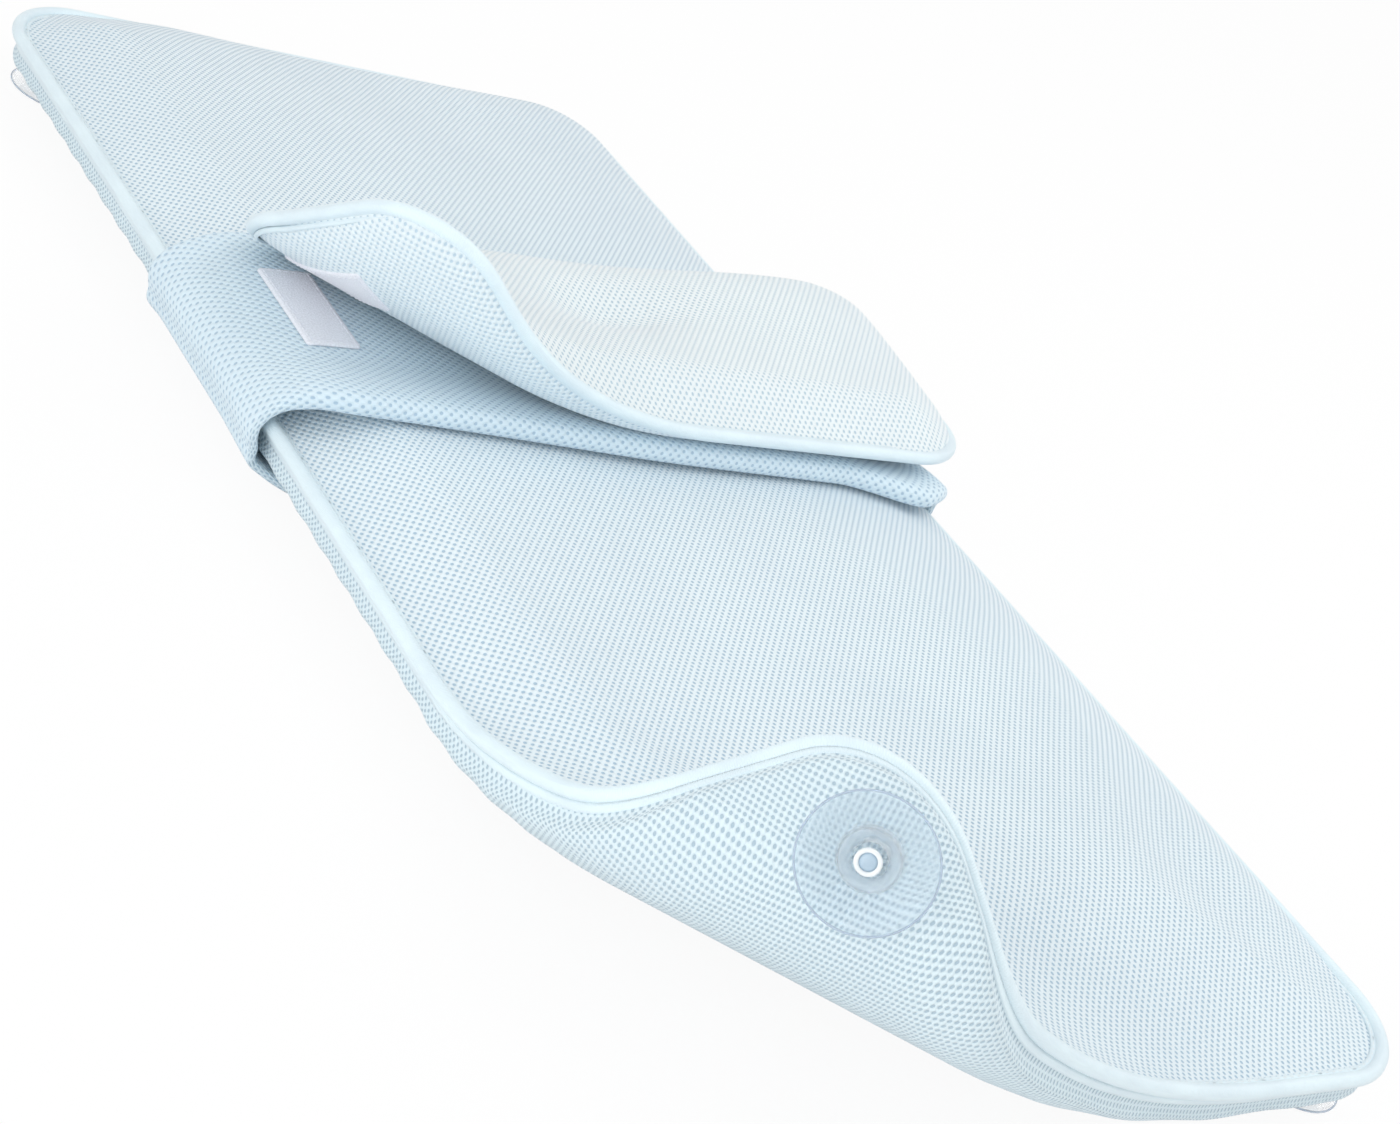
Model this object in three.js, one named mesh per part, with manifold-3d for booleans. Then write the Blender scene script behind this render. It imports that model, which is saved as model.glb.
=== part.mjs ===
// Full-body bath cushion: a padded spacer-mesh mat with a corded edge, one corner turned up,
// a sleeve that slides along the mat, a padded flap sewn to the sleeve and six suction cups.
// Millimetres, +Z up. The origin is on the floor under the middle of the mat; +Y is the head end.

import * as THREE from 'three';
import { mergeVertices } from 'three/addons/utils/BufferGeometryUtils.js';
import Module from 'manifold-3d';

const wasm = await Module();
wasm.setup();

// Mat
const MAT_WIDTH = 420; // between the cords of the two long edges
const MAT_LENGTH = 900;
const MAT_CORNER_RADIUS = 52;
const MAT_SIDE_DRAW = 3; // how far the long sides pull in at the middle
const MAT_RISE = 20; // top of the pad's rounded rim above the seam
const MAT_CROWN = 4; // further rise from the rim to the middle of the mat
const MAT_DROP = 25; // flat underside below the seam
const MAT_RIM = 36; // width of the rounded rim on top
const MAT_UNDER_RIM = 30; // and underneath
const PANEL_THICKNESS = 5; // spacer mesh
const CORD_RADIUS = 4.2; // corded edge binding

// Turned-up foot corner: a cone-shaped roll between two points on the edges, wide and then tight
const TURN_LENGTH_LEFT = 277; // from the corner, up the left edge
const TURN_LENGTH_FOOT = 322; // from the corner, along the foot edge
const TURN_RADIUS_LEFT = 106;
const TURN_RADIUS_FOOT = 212;
const TURN_WIDE_ANGLE = 39.5; // degrees that turn about these radii
const TURN_TIGHT_SHARE = 0.25; // radius of the rest of the turn, as a share of these radii
const TURN_ANGLE = 107.5; // degrees of the whole turn
const TURN_CORNER_START = 88; // degrees that bend; the rest is the stiff corner

// Suction cups
const CUP_DIAMETER = 56;
const CUP_LIP = 1.2;
const CUP_SEAT_WIDTH = 2; // flat ring of the rim
const CUP_HOLLOW = 3.6;
const CUP_BOSS_DIAMETER = 24;
const CUP_STANDOFF = 9; // rim to the underside of the mat
const CUP_INSET = 37; // from both edges of a corner
const CUP_NECK_DIAMETER = 13.4;
const CUP_HEAD_DIAMETER = 20;
const CUP_HEAD_HEIGHT = 3.5;
const CUP_HEAD_TAPER = 2;
const MIDDLE_CUP_FROM_FOOT = 250; // middle cups, from the ends of the mat
const MIDDLE_CUP_FROM_HEAD = 140;

// Eyelets in the bottom panel
const EYELET_WALL = 2;
const EYELET_FLANGE_DIAMETER = 26;
const EYELET_INNER_DIAMETER = 22;
const EYELET_FLANGE = 1.2;
const EYELET_BITE = 0.5; // how far each flange presses into the panel

// Sleeve
const SLEEVE_NEAR = -30; // near edge, from the centre of the mat
const SLEEVE_LENGTH = 182;
const SLEEVE_SKEW = 19; // near edge's slant, at each side of the mat
const SLEEVE_BOW = 8; // near edge's bow at the middle
const SLEEVE_TUCK = 31; // how far the near edge is drawn back at the right side
const SLEEVE_TUCK_FROM = 40; // from the mat's right side, where the drawing back starts
const SLEEVE_THICKNESS = 5;
const SLEEVE_CLEARANCE = 1;
const SLEEVE_ROLL = 6.25; // thickness of a rolled edge
const SLEEVE_NEAR_ROLL = 9; // thickness of the near edge on top

// Flap
const FLAP_OVERHANG = 4; // past the mat's cord lines, at each side
const FLAP_LENGTH = 172;
const FLAP_CORNER_RADIUS = 52;
const FLAP_SETBACK = 11; // hinge seam to the sleeve's far edge
const FLAP_RISE = 18;
const FLAP_CROWN = 4;
const FLAP_DROP = 4;
const FLAP_RIM = 36;
const FLAP_PANEL = 3;
const FLAP_TILT = 3.8; // degrees
const PEEL_LENGTH_LEFT = 216; // peeled near-left corner: up the left edge
const PEEL_LENGTH_NEAR = 231; // and along the near edge
const PEEL_RADIUS_LEFT = 71;
const PEEL_RADIUS_NEAR = 139;
const PEEL_ANGLE = 48; // degrees

// Hook-and-loop patches
const PATCH_WIDTH = 30;
const PATCH_LENGTH = 70;
const PATCH_THICKNESS = 1.5;
const PATCH_FROM_SIDE = 42; // the mat's side to the patch's centre
const PATCH_FROM_HINGE = 61; // hinge seam to the patch's centre
const PATCH_GAP = 0.6; // stitched loosely enough to follow the curled sheet

const GAP = 0.3; // between pieces that touch
const WELD = 1e-4; // points closer than this are one point
const ROUND_SIDES = 14; // of the turned pieces
const CORD_SIDES = 6;
const ROW_STEP = 76; // between the middle rows of the mat
const FLAP_ROW_STEP = 34;
const CORD_STEP = 62; // between rings of cord on a straight edge
const FLAP_CORD_STEP = 40;
const BEND_CORD_STEP = 9; // between rings where the cord bends
const ARC_STEPS = 8; // rings round a corner
const TIP_TRIM = 0.02; // radians the last row stays short of the rounded tip
const COLUMNS = [0, 0.015, 0.045, 0.1, 0.25, 0.5, 0.75, 0.9, 0.955, 0.985, 1];

const seamHeight = CUP_STANDOFF + MAT_DROP;
const edgeInset = CORD_RADIUS + GAP;
const radians = THREE.MathUtils.degToRad;

const meshBlue = new THREE.MeshStandardMaterial({ color: 0xcfe0ee, roughness: 0.85 });
const sleeveBlue = new THREE.MeshStandardMaterial({ color: 0xc0d6e8, roughness: 0.85 });
const fillingWhite = new THREE.MeshStandardMaterial({ color: 0xf2f5f7, roughness: 0.95 });
const satinBlue = new THREE.MeshStandardMaterial({ color: 0xd3e8f2, roughness: 0.45 });
const patchLilac = new THREE.MeshStandardMaterial({ color: 0xe4e7f7, roughness: 0.9 });
const clearVinyl = new THREE.MeshStandardMaterial({
  color: 0xe8f3f8, roughness: 0.12, transparent: true, opacity: 0.45,
});
const eyeletVinyl = new THREE.MeshStandardMaterial({ color: 0xe3edf3, roughness: 0.35 });

const cushion = new THREE.Group();

function addPiece(parent, name, geometry, material) {
  const mesh = new THREE.Mesh(geometry, material);
  mesh.name = name;
  parent.add(mesh);
}

// Booleans

function solidOf(geometry) {
  const bare = geometry.clone();
  bare.deleteAttribute('normal');
  bare.deleteAttribute('uv');
  const merged = mergeVertices(bare, WELD);
  return new wasm.Manifold(new wasm.Mesh({
    numProp: 3,
    vertProperties: new Float32Array(merged.attributes.position.array),
    triVerts: new Uint32Array(merged.index.array),
  }));
}

function cutAway(geometry, cutters) {
  let solid = solidOf(geometry);
  for (const cutter of cutters) solid = solid.subtract(solidOf(cutter));
  const result = solid.getMesh();
  const cut = new THREE.BufferGeometry();
  cut.setAttribute('position', new THREE.BufferAttribute(new Float32Array(result.vertProperties), 3));
  cut.setIndex(new THREE.BufferAttribute(new Uint32Array(result.triVerts), 1));
  cut.computeVertexNormals();
  return cut;
}

// Rounded pads: outline, distance from the edge, rim and crown

class Pad {
  constructor(width, length, radius, sideDraw) {
    this.halfX = width / 2;
    this.halfY = length / 2;
    this.radius = radius;
    this.sideDraw = sideDraw;
    this.straightX = width - 2 * radius;
    this.straightY = length - 2 * radius;
    this.arc = radius * Math.PI / 2;
    this.perimeter = 2 * (this.straightX + this.straightY) + 4 * this.arc;
  }

  draw(y) {
    const along = y / (this.halfY - this.radius);
    return this.sideDraw * Math.max(0, 1 - along * along);
  }

  // Distance in from the outline
  edge(x, y) {
    const outX = Math.abs(x) - (this.halfX - this.radius);
    const outY = Math.abs(y) - (this.halfY - this.radius);
    const beyond = Math.hypot(Math.max(outX, 0), Math.max(outY, 0));
    const within = Math.min(Math.max(outX, outY), 0);
    const sideShare = outX > outY ? 1 : 0;
    return this.radius - beyond - within - sideShare * this.draw(y);
  }

  // Half the width of the pad at y, drawn in from the outline by an inset
  halfWidthAt(y, inset) {
    const outY = Math.abs(y) - (this.halfY - this.radius);
    if (outY <= 0) return this.halfX - inset - this.draw(y);
    const reach = this.radius - inset;
    return this.halfX - this.radius + Math.sqrt(Math.max(0, reach * reach - outY * outY));
  }

  // Point and outward direction at a distance round the outline, from the foot edge's left end
  at(distance) {
    const { halfX, halfY, radius, straightX, straightY, arc } = this;
    let rest = ((distance % this.perimeter) + this.perimeter) % this.perimeter;
    for (let side = 0; side < 4; side += 1) {
      const straight = side % 2 ? straightY : straightX;
      const facing = (side - 1) * Math.PI / 2;
      if (rest <= straight) {
        const along = rest - straight / 2;
        const reach = side % 2 ? halfX - this.draw(along) : halfY;
        const out = [Math.cos(facing), Math.sin(facing)];
        return { point: [out[0] * reach - out[1] * along, out[1] * reach + out[0] * along], out };
      }
      rest -= straight;
      if (rest <= arc) {
        const angle = facing + rest / radius;
        const out = [Math.cos(angle), Math.sin(angle)];
        const middle = facing + Math.PI / 4;
        const centre = [
          Math.sign(Math.cos(middle)) * (halfX - radius),
          Math.sign(Math.sin(middle)) * (halfY - radius),
        ];
        return { point: [centre[0] + out[0] * radius, centre[1] + out[1] * radius], out };
      }
      rest -= arc;
    }
    return this.at(0);
  }

  // Distances round the outline where the cord needs a ring
  stations(straightStep, arcSteps) {
    const list = [];
    let start = 0;
    for (let side = 0; side < 4; side += 1) {
      const straight = side % 2 ? this.straightY : this.straightX;
      const steps = Math.max(1, Math.round(straight / straightStep));
      for (let i = 0; i < steps; i += 1) list.push(start + straight * i / steps);
      start += straight;
      for (let i = 0; i < arcSteps; i += 1) list.push(start + this.arc * i / arcSteps);
      start += this.arc;
    }
    return list;
  }
}

// Share of the full height that the rounded rim has reached at a distance from the edge
function rimShare(edge, rim) {
  const share = THREE.MathUtils.clamp(edge / rim, 0, 1);
  return Math.sqrt(1 - (1 - share) ** 2);
}

function crownShare(edge, half) {
  const share = THREE.MathUtils.clamp(edge / half, 0, 1);
  return share * (2 - share);
}

// Conical roll of a foot-left corner. Flat places are (x, y) with z above the seam. A place past
// the crease rolls upwards about a radius that grows along the crease, then about a share of that
// radius, and then runs straight. Its course is its distance past the crease, in those radii.

class CornerRoll {
  constructor(corner, lengthLeft, lengthFoot, radiusLeft, radiusFoot, angle, wideAngle, tightShare) {
    const leftEnd = [corner[0], corner[1] + lengthLeft];
    const footEnd = [corner[0] + lengthFoot, corner[1]];
    const length = Math.hypot(lengthLeft, lengthFoot);
    this.along = [(footEnd[0] - leftEnd[0]) / length, (footEnd[1] - leftEnd[1]) / length];
    this.across = [this.along[1], -this.along[0]];
    this.start = leftEnd;
    this.radiusLeft = radiusLeft;
    this.growth = (radiusFoot - radiusLeft) / length;
    this.angle = radians(angle);
    this.wide = radians(wideAngle);
    this.tight = tightShare;
    this.end = this.courseOf(this.angle);
  }

  measure(x, y) {
    const fromX = x - this.start[0];
    const fromY = y - this.start[1];
    const past = fromX * this.across[0] + fromY * this.across[1];
    const along = fromX * this.along[0] + fromY * this.along[1];
    const radius = Math.max(this.radiusLeft + this.growth * along, this.radiusLeft / 2);
    return { past, along, radius, course: past / radius };
  }

  courseAt(x, y) {
    return this.measure(x, y).course;
  }

  courseOf(turn) {
    return Math.min(turn, this.wide) + this.tight * Math.max(turn - this.wide, 0);
  }

  turnOf(course) {
    const turn = Math.min(course, this.wide) + Math.max(course - this.wide, 0) / this.tight;
    return THREE.MathUtils.clamp(turn, 0, this.angle);
  }

  place(x, y, z) {
    const { past, radius, course } = this.measure(x, y);
    if (past <= 0) return new THREE.Vector3(x, y, z);
    const turn = this.turnOf(course);
    const first = Math.min(turn, this.wide);
    const second = Math.max(turn, this.wide);
    const straight = Math.max(0, course - this.end);
    const reach = Math.sin(first) + this.tight * (Math.sin(second) - Math.sin(this.wide))
      + straight * Math.cos(this.angle);
    const height = 1 - Math.cos(first) + this.tight * (Math.cos(this.wide) - Math.cos(second))
      + straight * Math.sin(this.angle);
    const shift = radius * reach - z * Math.sin(turn) - past;
    return new THREE.Vector3(
      x + this.across[0] * shift, y + this.across[1] * shift, radius * height + z * Math.cos(turn),
    );
  }

  // Frame on the rolled sheet: X along the crease, Z square to the sheet
  frameAt(x, y, z) {
    const step = (way, size) => this.place(x + way[0] * size, y + way[1] * size, z);
    const side = step(this.along, GAP).sub(step(this.along, -GAP)).normalize();
    const down = step(this.across, GAP).sub(step(this.across, -GAP));
    const top = new THREE.Vector3().crossVectors(down, side).normalize();
    const third = new THREE.Vector3().crossVectors(top, side);
    return new THREE.Matrix4().makeBasis(side, third, top).setPosition(this.place(x, y, z));
  }

  // Flat point at a course and a distance along the crease
  flatPoint(course, along) {
    const past = course * (this.radiusLeft + this.growth * along);
    return [
      this.start[0] + this.along[0] * along + this.across[0] * past,
      this.start[1] + this.along[1] * along + this.across[1] * past,
    ];
  }
}

// Closed solid between an upper and a lower grid of points
function gridSolid(upper, lower) {
  const columns = upper[0].length;
  const under = upper.length * columns;
  const positions = [];
  for (const row of [...upper, ...lower]) {
    for (const point of row) positions.push(...point.toArray());
  }
  const index = [];
  const quad = (a, b, c, d) => index.push(a, b, c, a, c, d);
  for (let j = 0; j + 1 < upper.length; j += 1) {
    for (let i = 0; i + 1 < columns; i += 1) {
      const a = j * columns + i;
      const d = a + columns;
      quad(a, a + 1, d + 1, d);
      quad(under + a, under + d, under + d + 1, under + a + 1);
    }
  }
  for (let i = 0; i + 1 < columns; i += 1) {
    const last = (upper.length - 1) * columns + i;
    quad(under + i, under + i + 1, i + 1, i);
    quad(last, last + 1, under + last + 1, under + last);
  }
  for (let j = 0; j + 1 < upper.length; j += 1) {
    const left = j * columns;
    const right = left + columns - 1;
    quad(left, left + columns, under + left + columns, under + left);
    quad(under + right, under + right + columns, right + columns, right);
  }
  const geometry = new THREE.BufferGeometry();
  geometry.setAttribute('position', new THREE.Float32BufferAttribute(positions, 3));
  geometry.setIndex(index);
  geometry.computeVertexNormals();
  return geometry;
}

// Layer of a pad over rows of flat points, between two heights
function slab(rows, under, over, place) {
  const grid = (height) => rows.map((row) => row.map(([x, y]) => place(x, y, height(x, y))));
  return gridSolid(grid(over), grid(under));
}

// Round cord along points of a pad's outline, open-ended pieces get flat ends
function cordSolid(stops, closed, place) {
  const positions = [];
  for (const { point, out } of stops) {
    for (let side = 0; side < CORD_SIDES; side += 1) {
      const angle = 2 * Math.PI * side / CORD_SIDES;
      const reach = CORD_RADIUS * Math.cos(angle);
      const corner = place(point[0] + out[0] * reach, point[1] + out[1] * reach,
        CORD_RADIUS * Math.sin(angle));
      positions.push(...corner.toArray());
    }
  }
  const index = [];
  const joins = closed ? stops.length : stops.length - 1;
  for (let i = 0; i < joins; i += 1) {
    const here = i * CORD_SIDES;
    const next = ((i + 1) % stops.length) * CORD_SIDES;
    for (let side = 0; side < CORD_SIDES; side += 1) {
      const other = (side + 1) % CORD_SIDES;
      index.push(here + side, next + side, next + other, here + side, next + other, here + other);
    }
  }
  if (!closed) {
    const last = (stops.length - 1) * CORD_SIDES;
    for (let side = 1; side + 1 < CORD_SIDES; side += 1) {
      index.push(0, side, side + 1, last, last + side + 1, last + side);
    }
  }
  const geometry = new THREE.BufferGeometry();
  geometry.setAttribute('position', new THREE.Float32BufferAttribute(positions, 3));
  geometry.setIndex(index);
  geometry.computeVertexNormals();
  return geometry;
}

// Where a test that rises from low to high crosses zero
function crossing(low, high, test) {
  let [a, b] = [low, high];
  for (let i = 0; i < 60; i += 1) {
    const middle = (a + b) / 2;
    if (test(middle) < 0) a = middle;
    else b = middle;
  }
  return (a + b) / 2;
}

// Values spread evenly from one end of a span to the other
function spread(from, to, count) {
  return Array.from({ length: count + 1 }, (_, i) => from + (to - from) * i / count);
}

// Values from one end of a span to the other, closer together near the ends
function endWeightedSteps(from, to, endSteps, middleStep) {
  const inner = to - from - 2 * endSteps.at(-1);
  const count = Math.max(1, Math.round(inner / middleStep));
  const steps = endSteps.map((step) => from + step);
  for (let i = 1; i < count; i += 1) steps.push(from + endSteps.at(-1) + inner * i / count);
  for (const step of [...endSteps].reverse()) steps.push(to - step);
  return steps;
}

// Mat: the flat part, the bend and the stiff corner are cut from one sheet

const mat = new Pad(MAT_WIDTH, MAT_LENGTH, MAT_CORNER_RADIUS, MAT_SIDE_DRAW);
const roll = new CornerRoll([-mat.halfX, -mat.halfY], TURN_LENGTH_LEFT, TURN_LENGTH_FOOT,
  TURN_RADIUS_LEFT, TURN_RADIUS_FOOT, TURN_ANGLE, TURN_WIDE_ANGLE, TURN_TIGHT_SHARE);
const cornerStart = roll.courseOf(radians(TURN_CORNER_START));

const matTop = (x, y) => {
  const edge = mat.edge(x, y);
  return MAT_RISE * rimShare(edge, MAT_RIM) + MAT_CROWN * crownShare(edge, mat.halfX);
};
const matUnder = (x, y) => -MAT_DROP * rimShare(mat.edge(x, y), MAT_UNDER_RIM);
const onMat = (x, y, z) => roll.place(x, y, z).add(new THREE.Vector3(0, 0, seamHeight));

const matLayers = [
  ['top_panel', (x, y) => matTop(x, y) - PANEL_THICKNESS, matTop, meshBlue],
  ['filling', (x, y) => matUnder(x, y) + PANEL_THICKNESS + GAP,
    (x, y) => matTop(x, y) - PANEL_THICKNESS - GAP, fillingWhite],
  ['bottom_panel', matUnder, (x, y) => matUnder(x, y) + PANEL_THICKNESS, meshBlue],
];

const creasePast = (x, y) => roll.measure(x, y).past + GAP / 2;

// Rows across the flat part, with one where the crease leaves the left edge
function flatRows() {
  const endSteps = [0, 0.14, 0.42, 0.9].map((share) => share * MAT_RIM);
  const creaseY = crossing(-mat.halfY, 0, (y) => -creasePast(-mat.halfWidthAt(y, edgeInset), y));
  const footLevels = endWeightedSteps(-mat.halfY + edgeInset, creaseY, endSteps, ROW_STEP);
  const headLevels = endWeightedSteps(creaseY, mat.halfY - edgeInset, endSteps, ROW_STEP);
  const ends = endSteps.length;
  const levels = [...footLevels.slice(0, -ends), creaseY, ...headLevels.slice(ends)];
  return levels.map((y) => {
    const right = mat.halfWidthAt(y, edgeInset);
    const creaseX = crossing(-mat.halfX * 2, mat.halfX, (x) => -creasePast(x, y));
    const left = Math.max(-right, creaseX);
    return COLUMNS.map((share) => [left + (right - left) * share, y]);
  });
}

// Row across the rolled corner at one course, from the foot edge to the left edge
function rolledRow(course) {
  const inside = (along) => mat.edge(...roll.flatPoint(course, along)) - edgeInset;
  const samples = Array.from({ length: mat.halfY }, (_, i) => i);
  const best = samples.reduce((a, b) => (inside(b) > inside(a) ? b : a));
  const leftEnd = crossing(best - mat.halfY, best, inside);
  const footEnd = crossing(best, best + mat.halfY, (along) => -inside(along));
  return COLUMNS.map((share) => roll.flatPoint(course, footEnd + (leftEnd - footEnd) * share));
}

const cutHalf = GAP / 2 / TURN_RADIUS_LEFT;
const tipInset = MAT_CORNER_RADIUS - (MAT_CORNER_RADIUS - edgeInset) / Math.SQRT2;
const tipCourse = roll.courseAt(-mat.halfX + tipInset, -mat.halfY + tipInset) - TIP_TRIM;
const foldCourses = [
  ...spread(cutHalf, roll.wide, 5).slice(0, -1), ...spread(roll.wide, cornerStart - cutHalf, 6),
];
const cornerCourses = [
  ...spread(cornerStart + cutHalf, roll.end, 3).slice(0, -1), ...spread(roll.end, tipCourse, 5),
];
const matZones = {
  mat: flatRows(),
  fold: foldCourses.map(rolledRow),
  corner: cornerCourses.map(rolledRow),
};

// Suction cups and eyelets: places on the mat's underside

const cupPlaces = [
  ['head_left', -mat.halfX + CUP_INSET, mat.halfY - CUP_INSET],
  ['head_right', mat.halfX - CUP_INSET, mat.halfY - CUP_INSET],
  ['foot_right', mat.halfX - CUP_INSET, -mat.halfY + CUP_INSET],
  ['foot_left', -mat.halfX + CUP_INSET, -mat.halfY + CUP_INSET],
  ['middle_foot', 0, -mat.halfY + MIDDLE_CUP_FROM_FOOT],
  ['middle_head', 0, mat.halfY - MIDDLE_CUP_FROM_HEAD],
];

// Heights along a cup's axis, from its rim
const panelLow = CUP_STANDOFF;
const panelHigh = panelLow + PANEL_THICKNESS;
const gripLow = panelLow + EYELET_BITE;
const gripHigh = panelHigh - EYELET_BITE;
const eyeletLow = gripLow - EYELET_FLANGE;
const eyeletHigh = gripHigh + EYELET_FLANGE;
const headLow = eyeletHigh + GAP;
const headHigh = headLow + CUP_HEAD_HEIGHT;
const neckRadius = CUP_NECK_DIAMETER / 2;
const boreRadius = neckRadius + GAP;
const eyeletRadius = boreRadius + EYELET_WALL;
const flangeRadius = EYELET_FLANGE_DIAMETER / 2;
const innerRadius = EYELET_INNER_DIAMETER / 2;

// Closed turned piece from a profile of [radius, height]
function turned(profile) {
  const points = profile.map(([radius, height]) => new THREE.Vector2(radius, height));
  const lathe = new THREE.LatheGeometry(points, ROUND_SIDES).rotateX(Math.PI / 2);
  lathe.deleteAttribute('normal');
  lathe.deleteAttribute('uv');
  const merged = mergeVertices(lathe, WELD);
  merged.computeVertexNormals();
  return merged;
}

function drillAt(frame, radius, low, high) {
  return new THREE.CylinderGeometry(radius, radius, high - low, ROUND_SIDES)
    .rotateX(Math.PI / 2).translate(0, 0, (low + high) / 2).applyMatrix4(frame);
}

function cupFrame(x, y) {
  const lift = new THREE.Matrix4().makeTranslation(0, 0, seamHeight);
  const standoff = new THREE.Matrix4().makeTranslation(0, 0, -CUP_STANDOFF);
  return lift.multiply(roll.frameAt(x, y, -MAT_DROP)).multiply(standoff);
}

const cupRadius = CUP_DIAMETER / 2;
const bossRadius = CUP_BOSS_DIAMETER / 2;
const cupProfile = [
  [0, CUP_HOLLOW],
  [cupRadius * 0.55, CUP_HOLLOW * 0.72],
  [cupRadius - CUP_SEAT_WIDTH, 0],
  [cupRadius, 0],
  [cupRadius, CUP_LIP],
  [(cupRadius + bossRadius) / 2, CUP_HOLLOW + CUP_LIP * 1.6],
  [bossRadius, CUP_HOLLOW + CUP_LIP * 3.4],
  [bossRadius, eyeletLow - GAP],
  [neckRadius, eyeletLow - GAP],
  [neckRadius, headLow],
  [CUP_HEAD_DIAMETER / 2, headLow],
  [CUP_HEAD_DIAMETER / 2 - CUP_HEAD_TAPER, headHigh],
  [0, headHigh],
];

const eyeletProfile = [
  [boreRadius, eyeletLow],
  [flangeRadius, eyeletLow],
  [flangeRadius, gripLow],
  [eyeletRadius, gripLow],
  [eyeletRadius, gripHigh],
  [innerRadius, gripHigh],
  [innerRadius, eyeletHigh],
  [boreRadius, eyeletHigh],
  [boreRadius, eyeletLow],
];

const pocketHigh = headHigh + GAP;
const holes = { mat: [], fold: [], corner: [] };
for (const [name, x, y] of cupPlaces) {
  const frame = cupFrame(x, y);
  const zone = roll.courseAt(x, y) > cornerStart ? 'corner' : 'mat';
  holes[zone].push({
    bottom_panel: [
      drillAt(frame, eyeletRadius + GAP, 0, pocketHigh),
      drillAt(frame, flangeRadius + GAP, 0, gripLow + GAP),
      drillAt(frame, innerRadius + GAP, gripHigh - GAP, pocketHigh),
    ],
    filling: [drillAt(frame, innerRadius + 2 * GAP, 0, pocketHigh)],
    top_panel: [],
  });
  const seat = new THREE.Group();
  seat.applyMatrix4(frame);
  cushion.add(seat);
  addPiece(seat, `suction_cup_${name}`, turned(cupProfile), clearVinyl);
  addPiece(seat, `eyelet_${name}`, turned(eyeletProfile), eyeletVinyl);
}

for (const [zone, rows] of Object.entries(matZones)) {
  for (const [layer, under, over, material] of matLayers) {
    const sheet = slab(rows, under, over, onMat);
    const drills = holes[zone].flatMap((hole) => hole[layer]);
    const piece = drills.length > 0 ? cutAway(sheet, drills) : sheet;
    addPiece(cushion, `${zone}_${layer}`, piece, material);
  }
}

// Corded edge binding of the mat, cut where the sheets are cut

const footSpan = [-mat.arc / 2, mat.straightX];
const leftSpan = [mat.perimeter - mat.arc - mat.straightY, mat.perimeter - mat.arc / 2];
const courseRound = (distance) => roll.courseAt(...mat.at(distance).point);
const footStop = (course) => crossing(...footSpan, (distance) => course - courseRound(distance));
const leftStop = (course) => crossing(...leftSpan, (distance) => courseRound(distance) - course);

function cordBetween(from, to) {
  const count = Math.max(2, Math.round((to - from) / BEND_CORD_STEP));
  return spread(from, to, count).map((distance) => mat.at(distance));
}

const flatFrom = footStop(-cutHalf);
const flatTo = leftStop(-cutHalf);
const flatStops = mat.stations(CORD_STEP, ARC_STEPS)
  .filter((distance) => distance > flatFrom && distance < flatTo);
const flatCord = [flatFrom, ...flatStops, flatTo].map((distance) => mat.at(distance));
const cornerFrom = leftStop(cornerStart + cutHalf);
const cornerTo = footStop(cornerStart + cutHalf) + mat.perimeter;
const cordPieces = {
  mat_piping: flatCord,
  fold_piping_left: cordBetween(leftStop(cutHalf), leftStop(cornerStart - cutHalf)),
  fold_piping_foot: cordBetween(footStop(cornerStart - cutHalf), footStop(cutHalf)),
  corner_piping: cordBetween(cornerFrom, cornerTo),
};
for (const [name, stops] of Object.entries(cordPieces)) {
  addPiece(cushion, name, cordSolid(stops, false, onMat), satinBlue);
}

// Sleeve round the mat: its section follows the mat's section with a clearance

const sleeveMiddle = SLEEVE_NEAR + SLEEVE_LENGTH / 2;
const sleeveFar = SLEEVE_NEAR + SLEEVE_LENGTH;

// Half section from the side to the middle: [x, z, outward x, outward z]
function sleeveHalfSection(rise, crown, rim) {
  const sideReach = mat.halfX + CORD_RADIUS + SLEEVE_CLEARANCE;
  const points = [[sideReach, GAP / 2, 1, 0]];
  for (const edge of [edgeInset, 0.3 * rim, 0.55 * rim, rim, 2.5 * rim, mat.halfX]) {
    const share = Math.min(edge / rim, 1);
    const height = rise * rimShare(edge, rim) + crown * crownShare(edge, mat.halfX);
    const slope = rise * (1 - share) / rim / Math.max(rimShare(edge, rim), 0.2);
    const length = Math.hypot(slope, 1);
    points.push([
      mat.halfX - edge + SLEEVE_CLEARANCE * slope / length,
      height + SLEEVE_CLEARANCE, slope / length, 1 / length,
    ]);
  }
  return points;
}

function sleeveSection(rise, crown, rim) {
  const right = sleeveHalfSection(rise, crown, rim);
  const left = right.slice(0, -1).map(([x, z, outX, outZ]) => [-x, z, -outX, outZ]);
  return [...left, ...right.reverse()];
}

// Rows from the near edge to the far edge: [y, thickness]
function sleeveRows(nearRoll) {
  const inset = (share) => share * SLEEVE_THICKNESS;
  const edgeRows = (thickest) => [
    [0, 0.28 * thickest], [inset(0.6), 0.72 * thickest], [inset(1.8), thickest],
    [inset(4.8), SLEEVE_THICKNESS],
  ];
  return [
    ...edgeRows(nearRoll).map(([from, thickness]) => [SLEEVE_NEAR + from, thickness]),
    [sleeveMiddle, SLEEVE_THICKNESS],
    ...edgeRows(SLEEVE_ROLL).reverse().map(([from, thickness]) => [sleeveFar - from, thickness]),
  ];
}

// How far the skewed near edge shifts a place along the mat
function sleeveShift(x, y) {
  const across = x / mat.halfX;
  const nearness = (sleeveFar - y) / SLEEVE_LENGTH;
  const tuck = SLEEVE_TUCK * Math.max(0, 1 - (mat.halfX - x) / SLEEVE_TUCK_FROM) ** 1.5;
  return nearness * (tuck - SLEEVE_SKEW * across - SLEEVE_BOW * (1 - across * across));
}

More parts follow.
